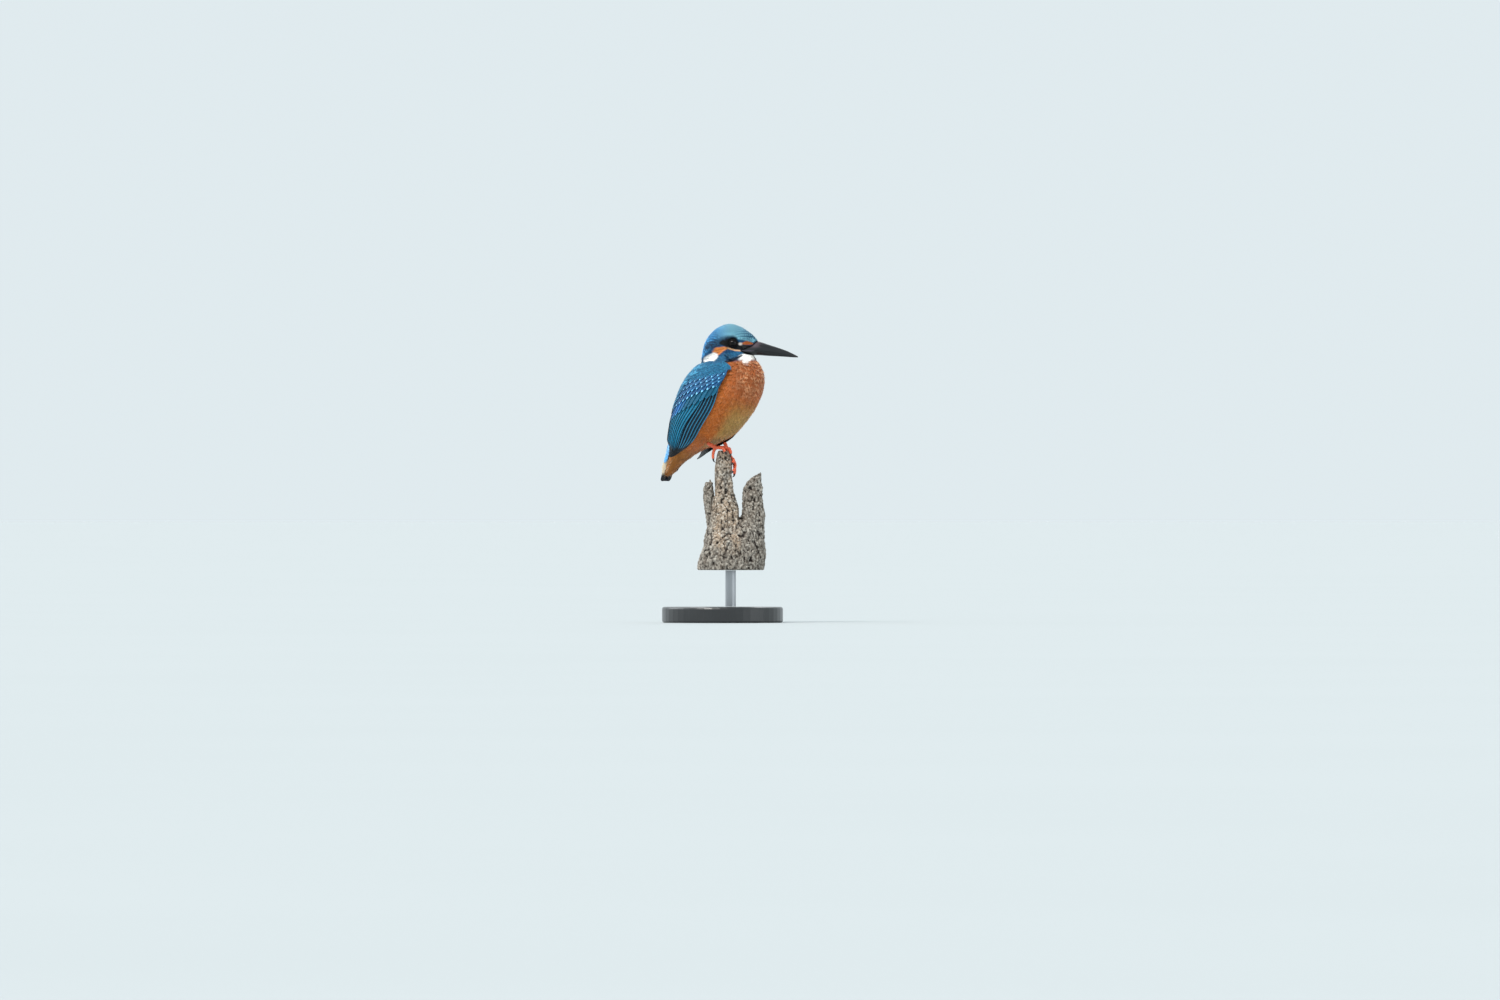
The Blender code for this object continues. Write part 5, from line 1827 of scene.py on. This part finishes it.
def eye_finish():
    """A dark wet eye with a ring of very dark brown iris."""
    made, tree, shader = new_finish("eye")
    iris = attribute(tree, "iris", "Fac")
    ring = times(tree, soft_mask(tree, iris, 1.45, 1.6), soft_mask(tree, iris, 2.9, 2.6))
    fibres = object_noise(tree, 1600.0, 3.0)
    colour = blend(tree, ring, "#020202", "#0e0705")
    colour = tint(tree, times(tree, fibres, ring), "#150b06", colour)
    tree.links.new(colour, shader.inputs["Base Color"])
    set_numbers(shader, {"Roughness": 0.06, "Specular IOR Level": 0.2})
    return made


def lid_finish():
    made, tree, shader = new_finish("eyelid")
    grain = object_noise(tree, 2400.0, 3.0)
    colour = blend(tree, grain, "#050608", "#0e1014")
    dress(tree, shader, colour, scaled(tree, grain, 0.3, 0.5), grain, 0.00012, 0.7)
    set_numbers(shader, {"Specular IOR Level": 0.25})
    return made


def leg_finish():
    """Coral-red skin in small scutes with darker seams."""
    made, tree, shader = new_finish("leg_skin")
    cloud = object_noise(tree, 220.0, 3.0)
    place = node(tree, "ShaderNodeTexCoord").outputs["Object"]
    cells = {"Vector": place, "Scale": 1300.0}
    cells = node(tree, "ShaderNodeTexVoronoi", cells, feature="DISTANCE_TO_EDGE")
    seams = soft_mask(tree, cells.outputs["Distance"], 0.0, 0.12)
    colour = blend(tree, cloud, "#dc4c28", "#ff8159")
    colour = tint(tree, scaled(tree, seams, -0.4, 0.4), "#a03418", colour)
    dress(tree, shader, colour, scaled(tree, cloud, 0.2, 0.35), seams, 0.00012, 0.6)
    depth = {"Subsurface Weight": 0.15, "Subsurface Scale": 1.0}
    set_numbers(shader, {**depth, "Subsurface Radius": (0.0008, 0.0003, 0.0002)})
    return made


def claw_finish():
    made, tree, shader = new_finish("claw_horn")
    grain = object_noise(tree, 900.0, 3.0)
    colour = blend(tree, grain, "#1c1614", "#332825")
    tip = soft_mask(tree, attribute(tree, "share", "Fac"), 0.55, 1.0)
    colour = tint(tree, times(tree, tip, 0.7), "#a8917f", colour)
    dress(tree, shader, colour, scaled(tree, grain, 0.2, 0.25), grain, 0.00008, 0.4)
    return made


def wood_finish():
    """Grey weathered wood with cream and tan patches, lichen specks and painted shade in its hollows."""
    made, tree, shader = new_finish("weathered_wood")
    hollow_shade, warm = attribute(tree, "hollow_shade", "Fac"), attribute(tree, "warm", "Fac")
    grain = object_noise(tree, 520.0, 5.0, (1.0, 1.0, 0.35))
    patch = object_noise(tree, 110.0, 3.0, (1.0, 1.0, 0.6))
    speck = object_noise(tree, 1200.0, 4.0)
    blotch = object_noise(tree, 600.0, 5.0)
    tan = times(tree, soft_mask(tree, patch, 0.3, 0.6), scaled(tree, warm, 0.6, 0.12))
    cream = times(tree, soft_mask(tree, blotch, 0.52, 0.62), scaled(tree, warm, 0.3, 0.5))
    lichen = times(tree, soft_mask(tree, speck, 0.52, 0.6), 0.65)
    stain = times(tree, soft_mask(tree, blotch, 0.46, 0.38), 0.6)
    colour = blend(tree, soft_mask(tree, grain, 0.36, 0.64), "#655f58", "#a09a91")
    colour = tint(tree, tan, "#bda48b", colour)
    colour = tint(tree, cream, "#ddd5c8", colour)
    colour = tint(tree, lichen, "#4a423b", colour)
    colour = tint(tree, stain, "#4a423b", colour)
    # Painted shade in the wood's cracks, pits and hollows.
    colour = tint(tree, soft_mask(tree, hollow_shade, 0.08, 0.9), "#2a231e", colour)
    height = scaled(tree, speck, 0.5, grain)
    dress(tree, shader, colour, scaled(tree, speck, 0.15, 0.8), height, 0.0006, 0.9)
    set_numbers(shader, {"Specular IOR Level": 0.25})
    return made


def lacquer_finish():
    made, tree, shader = new_finish("stand_lacquer")
    cloud, fine = object_noise(tree, 60.0, 4.0), object_noise(tree, 1500.0, 2.0)
    colour = blend(tree, cloud, "#17181a", "#232527")
    dress(tree, shader, colour, scaled(tree, cloud, 0.18, 0.26), fine, 0.00002, 0.4)
    set_numbers(shader, {"Coat Weight": 0.4, "Coat Roughness": 0.2})
    return made


def steel_finish():
    made, tree, shader = new_finish("rod_steel")
    brushed = object_noise(tree, 900.0, 3.0, (1.0, 1.0, 0.03))
    colour = blend(tree, brushed, "#8f9296", "#b9bcbf")
    dress(tree, shader, colour, scaled(tree, brushed, 0.2, 0.22), brushed, 0.00002, 0.5)
    set_numbers(shader, {"Metallic": 1.0})
    return made


def core_shade_finish():
    """The wings' cores under their feathers, painted dark blue-black as shadow in the gaps between the
    feathers.
    """
    made, tree, shader = new_finish("wing_shadow")
    cloud = object_noise(tree, 150.0, 3.0)
    colour = blend(tree, cloud, "#0a1622", "#12283a")
    dress(tree, shader, colour, scaled(tree, cloud, 0.2, 0.7), cloud, 0.0002, 0.5)
    return made


# ---------------------------------------------------------------- stage


VIEW_AZIMUTH = 40.0
LENS, SENSOR = 400.0, 36.0
FRAME_WIDTH = 1.14  # the view's width at the bird, in metres
FRAME_MIDDLE = np.array([20.9, -38.8])  # the middle of the view, right of and above the grip
FLOOR_RADIUS = 60
FLOOR_TONES = (0.420, 0.452, 0.463, 1), (0.434, 0.466, 0.477, 1)
SKY_COLOUR, SKY_STRENGTH = (0.83, 0.92, 0.955), 0.9

# Broad soft lights: place round the bird from the view, height, strength, softness and colour.
Lamp = namedtuple("Lamp", "name turn elevation strength softness colour")
LAMPS = [
    Lamp("key", -38, 52, 2.4, 22, (1.0, 0.97, 0.93)),
    Lamp("fill", 65, 15, 0.5, 40, (0.93, 0.97, 1.0)),
    Lamp("rim", 175, 48, 0.7, 30, (1.0, 1.0, 1.0)),
    Lamp("side", -108, 30, 1.1, 40, (0.96, 0.98, 1.0)),
]


def make_stage():
    """A pale floor out to the horizon, under an even pale sky."""
    bpy.ops.mesh.primitive_circle_add(vertices=96, radius=FLOOR_RADIUS, fill_type="NGON")
    floor = bpy.context.object
    floor.name = "floor"
    finish, tree, shader = new_finish("pale_floor")
    tone = blend(tree, object_noise(tree, 2.0, 4.0), *FLOOR_TONES)
    tree.links.new(tone, shader.inputs["Base Color"])
    set_numbers(shader, {"Roughness": 0.95, "Specular IOR Level": 0.1})
    floor.data.materials.append(finish)

    world = bpy.data.worlds.new("studio")
    bpy.context.scene.world = world
    world.use_nodes = True
    background = world.node_tree.nodes["Background"]
    background.inputs["Color"].default_value = (*SKY_COLOUR, 1)
    background.inputs["Strength"].default_value = SKY_STRENGTH


def make_lamp(lamp):
    light = bpy.data.lights.new(lamp.name, "SUN")
    light.energy = lamp.strength
    light.angle = math.radians(lamp.softness)
    light.color = lamp.colour
    obj = bpy.data.objects.new(lamp.name, light)
    a, e = math.radians(VIEW_AZIMUTH + lamp.turn), math.radians(lamp.elevation)
    back = Vector((math.sin(a) * math.cos(e), -math.cos(a) * math.cos(e), math.sin(e)))
    obj.location = Vector((0, 0, 0.15)) + back
    obj.rotation_euler = back.to_track_quat("Z", "Y").to_euler()
    bpy.context.scene.collection.objects.link(obj)


def make_camera():
    """A level long-lens view from the bird's right and a little in front."""
    data = bpy.data.cameras.new("camera")
    data.lens = LENS
    data.sensor_width = SENSOR
    data.clip_end = 300
    camera = bpy.data.objects.new("camera", data)
    bpy.context.scene.collection.objects.link(camera)
    a = math.radians(VIEW_AZIMUTH)
    right, back = Vector((math.cos(a), math.sin(a), 0)), Vector((math.sin(a), -math.cos(a), 0))
    middle = Vector(to_frame([0, 0, FRAME_MIDDLE[1]])) + right * (FRAME_MIDDLE[0] * MM)
    camera.location = middle + back * (FRAME_WIDTH * LENS / SENSOR)
    camera.rotation_mode = "QUATERNION"
    camera.rotation_quaternion = back.to_track_quat("Z", "Y")
    bpy.context.scene.camera = camera


# ---------------------------------------------------------------- the whole


def make_body(plumage):
    """The skin, painted darker than the coat over it as shade between the feathers, and the coat that grows
    on it.
    """
    skin = make_skin()
    points, _ = mesh_points(skin)
    coat = markings(points)
    # Painted shade: the skin that shows between the feathers gets the coat's colours darkened.
    for key in ("ground", "mark"):
        add_attribute(skin, key, "FLOAT_COLOR", coat.ground * SKIN_PAINTED_SHADE)
    add_attribute(skin, "band", "FLOAT_VECTOR", coat.band)
    add_attribute(skin, "vane", "FLOAT_VECTOR", np.tile([0.3, 0.0, 0.5], (len(points), 1)))
    finish_piece(skin, plumage, ["head", "neck", "trunk"])
    tree = surface_tree(skin)
    make_crown(tree, plumage)
    make_face(skin, tree, plumage)
    make_trunk_coat(skin, tree, plumage)


def main():
    bpy.context.scene.view_settings.view_transform = "Standard"
    make_camera()
    make_stage()
    for lamp in LAMPS:
        make_lamp(lamp)

    plumage = plumage_finish("plumage", False)
    make_body(plumage)
    flight = plumage_finish("flight_feathers", True)
    core = core_shade_finish()
    make_wing(-1, "wing_right", flight, plumage, core)
    make_wing(1, "wing_left", flight, plumage, core)
    make_tail(flight)
    make_tail_coverts(plumage)
    make_bill(bill_finish())
    make_eyes(eye_finish(), lid_finish())
    leg, claw = leg_finish(), claw_finish()
    make_foot("right", leg, claw)
    make_foot("left", leg, claw)
    make_perch(wood_finish())
    lacquer, steel = lacquer_finish(), steel_finish()
    for name, finish in (("stand_base", lacquer), ("stand_rod", steel)):
        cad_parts[name].material_slots[0].material = finish


main()
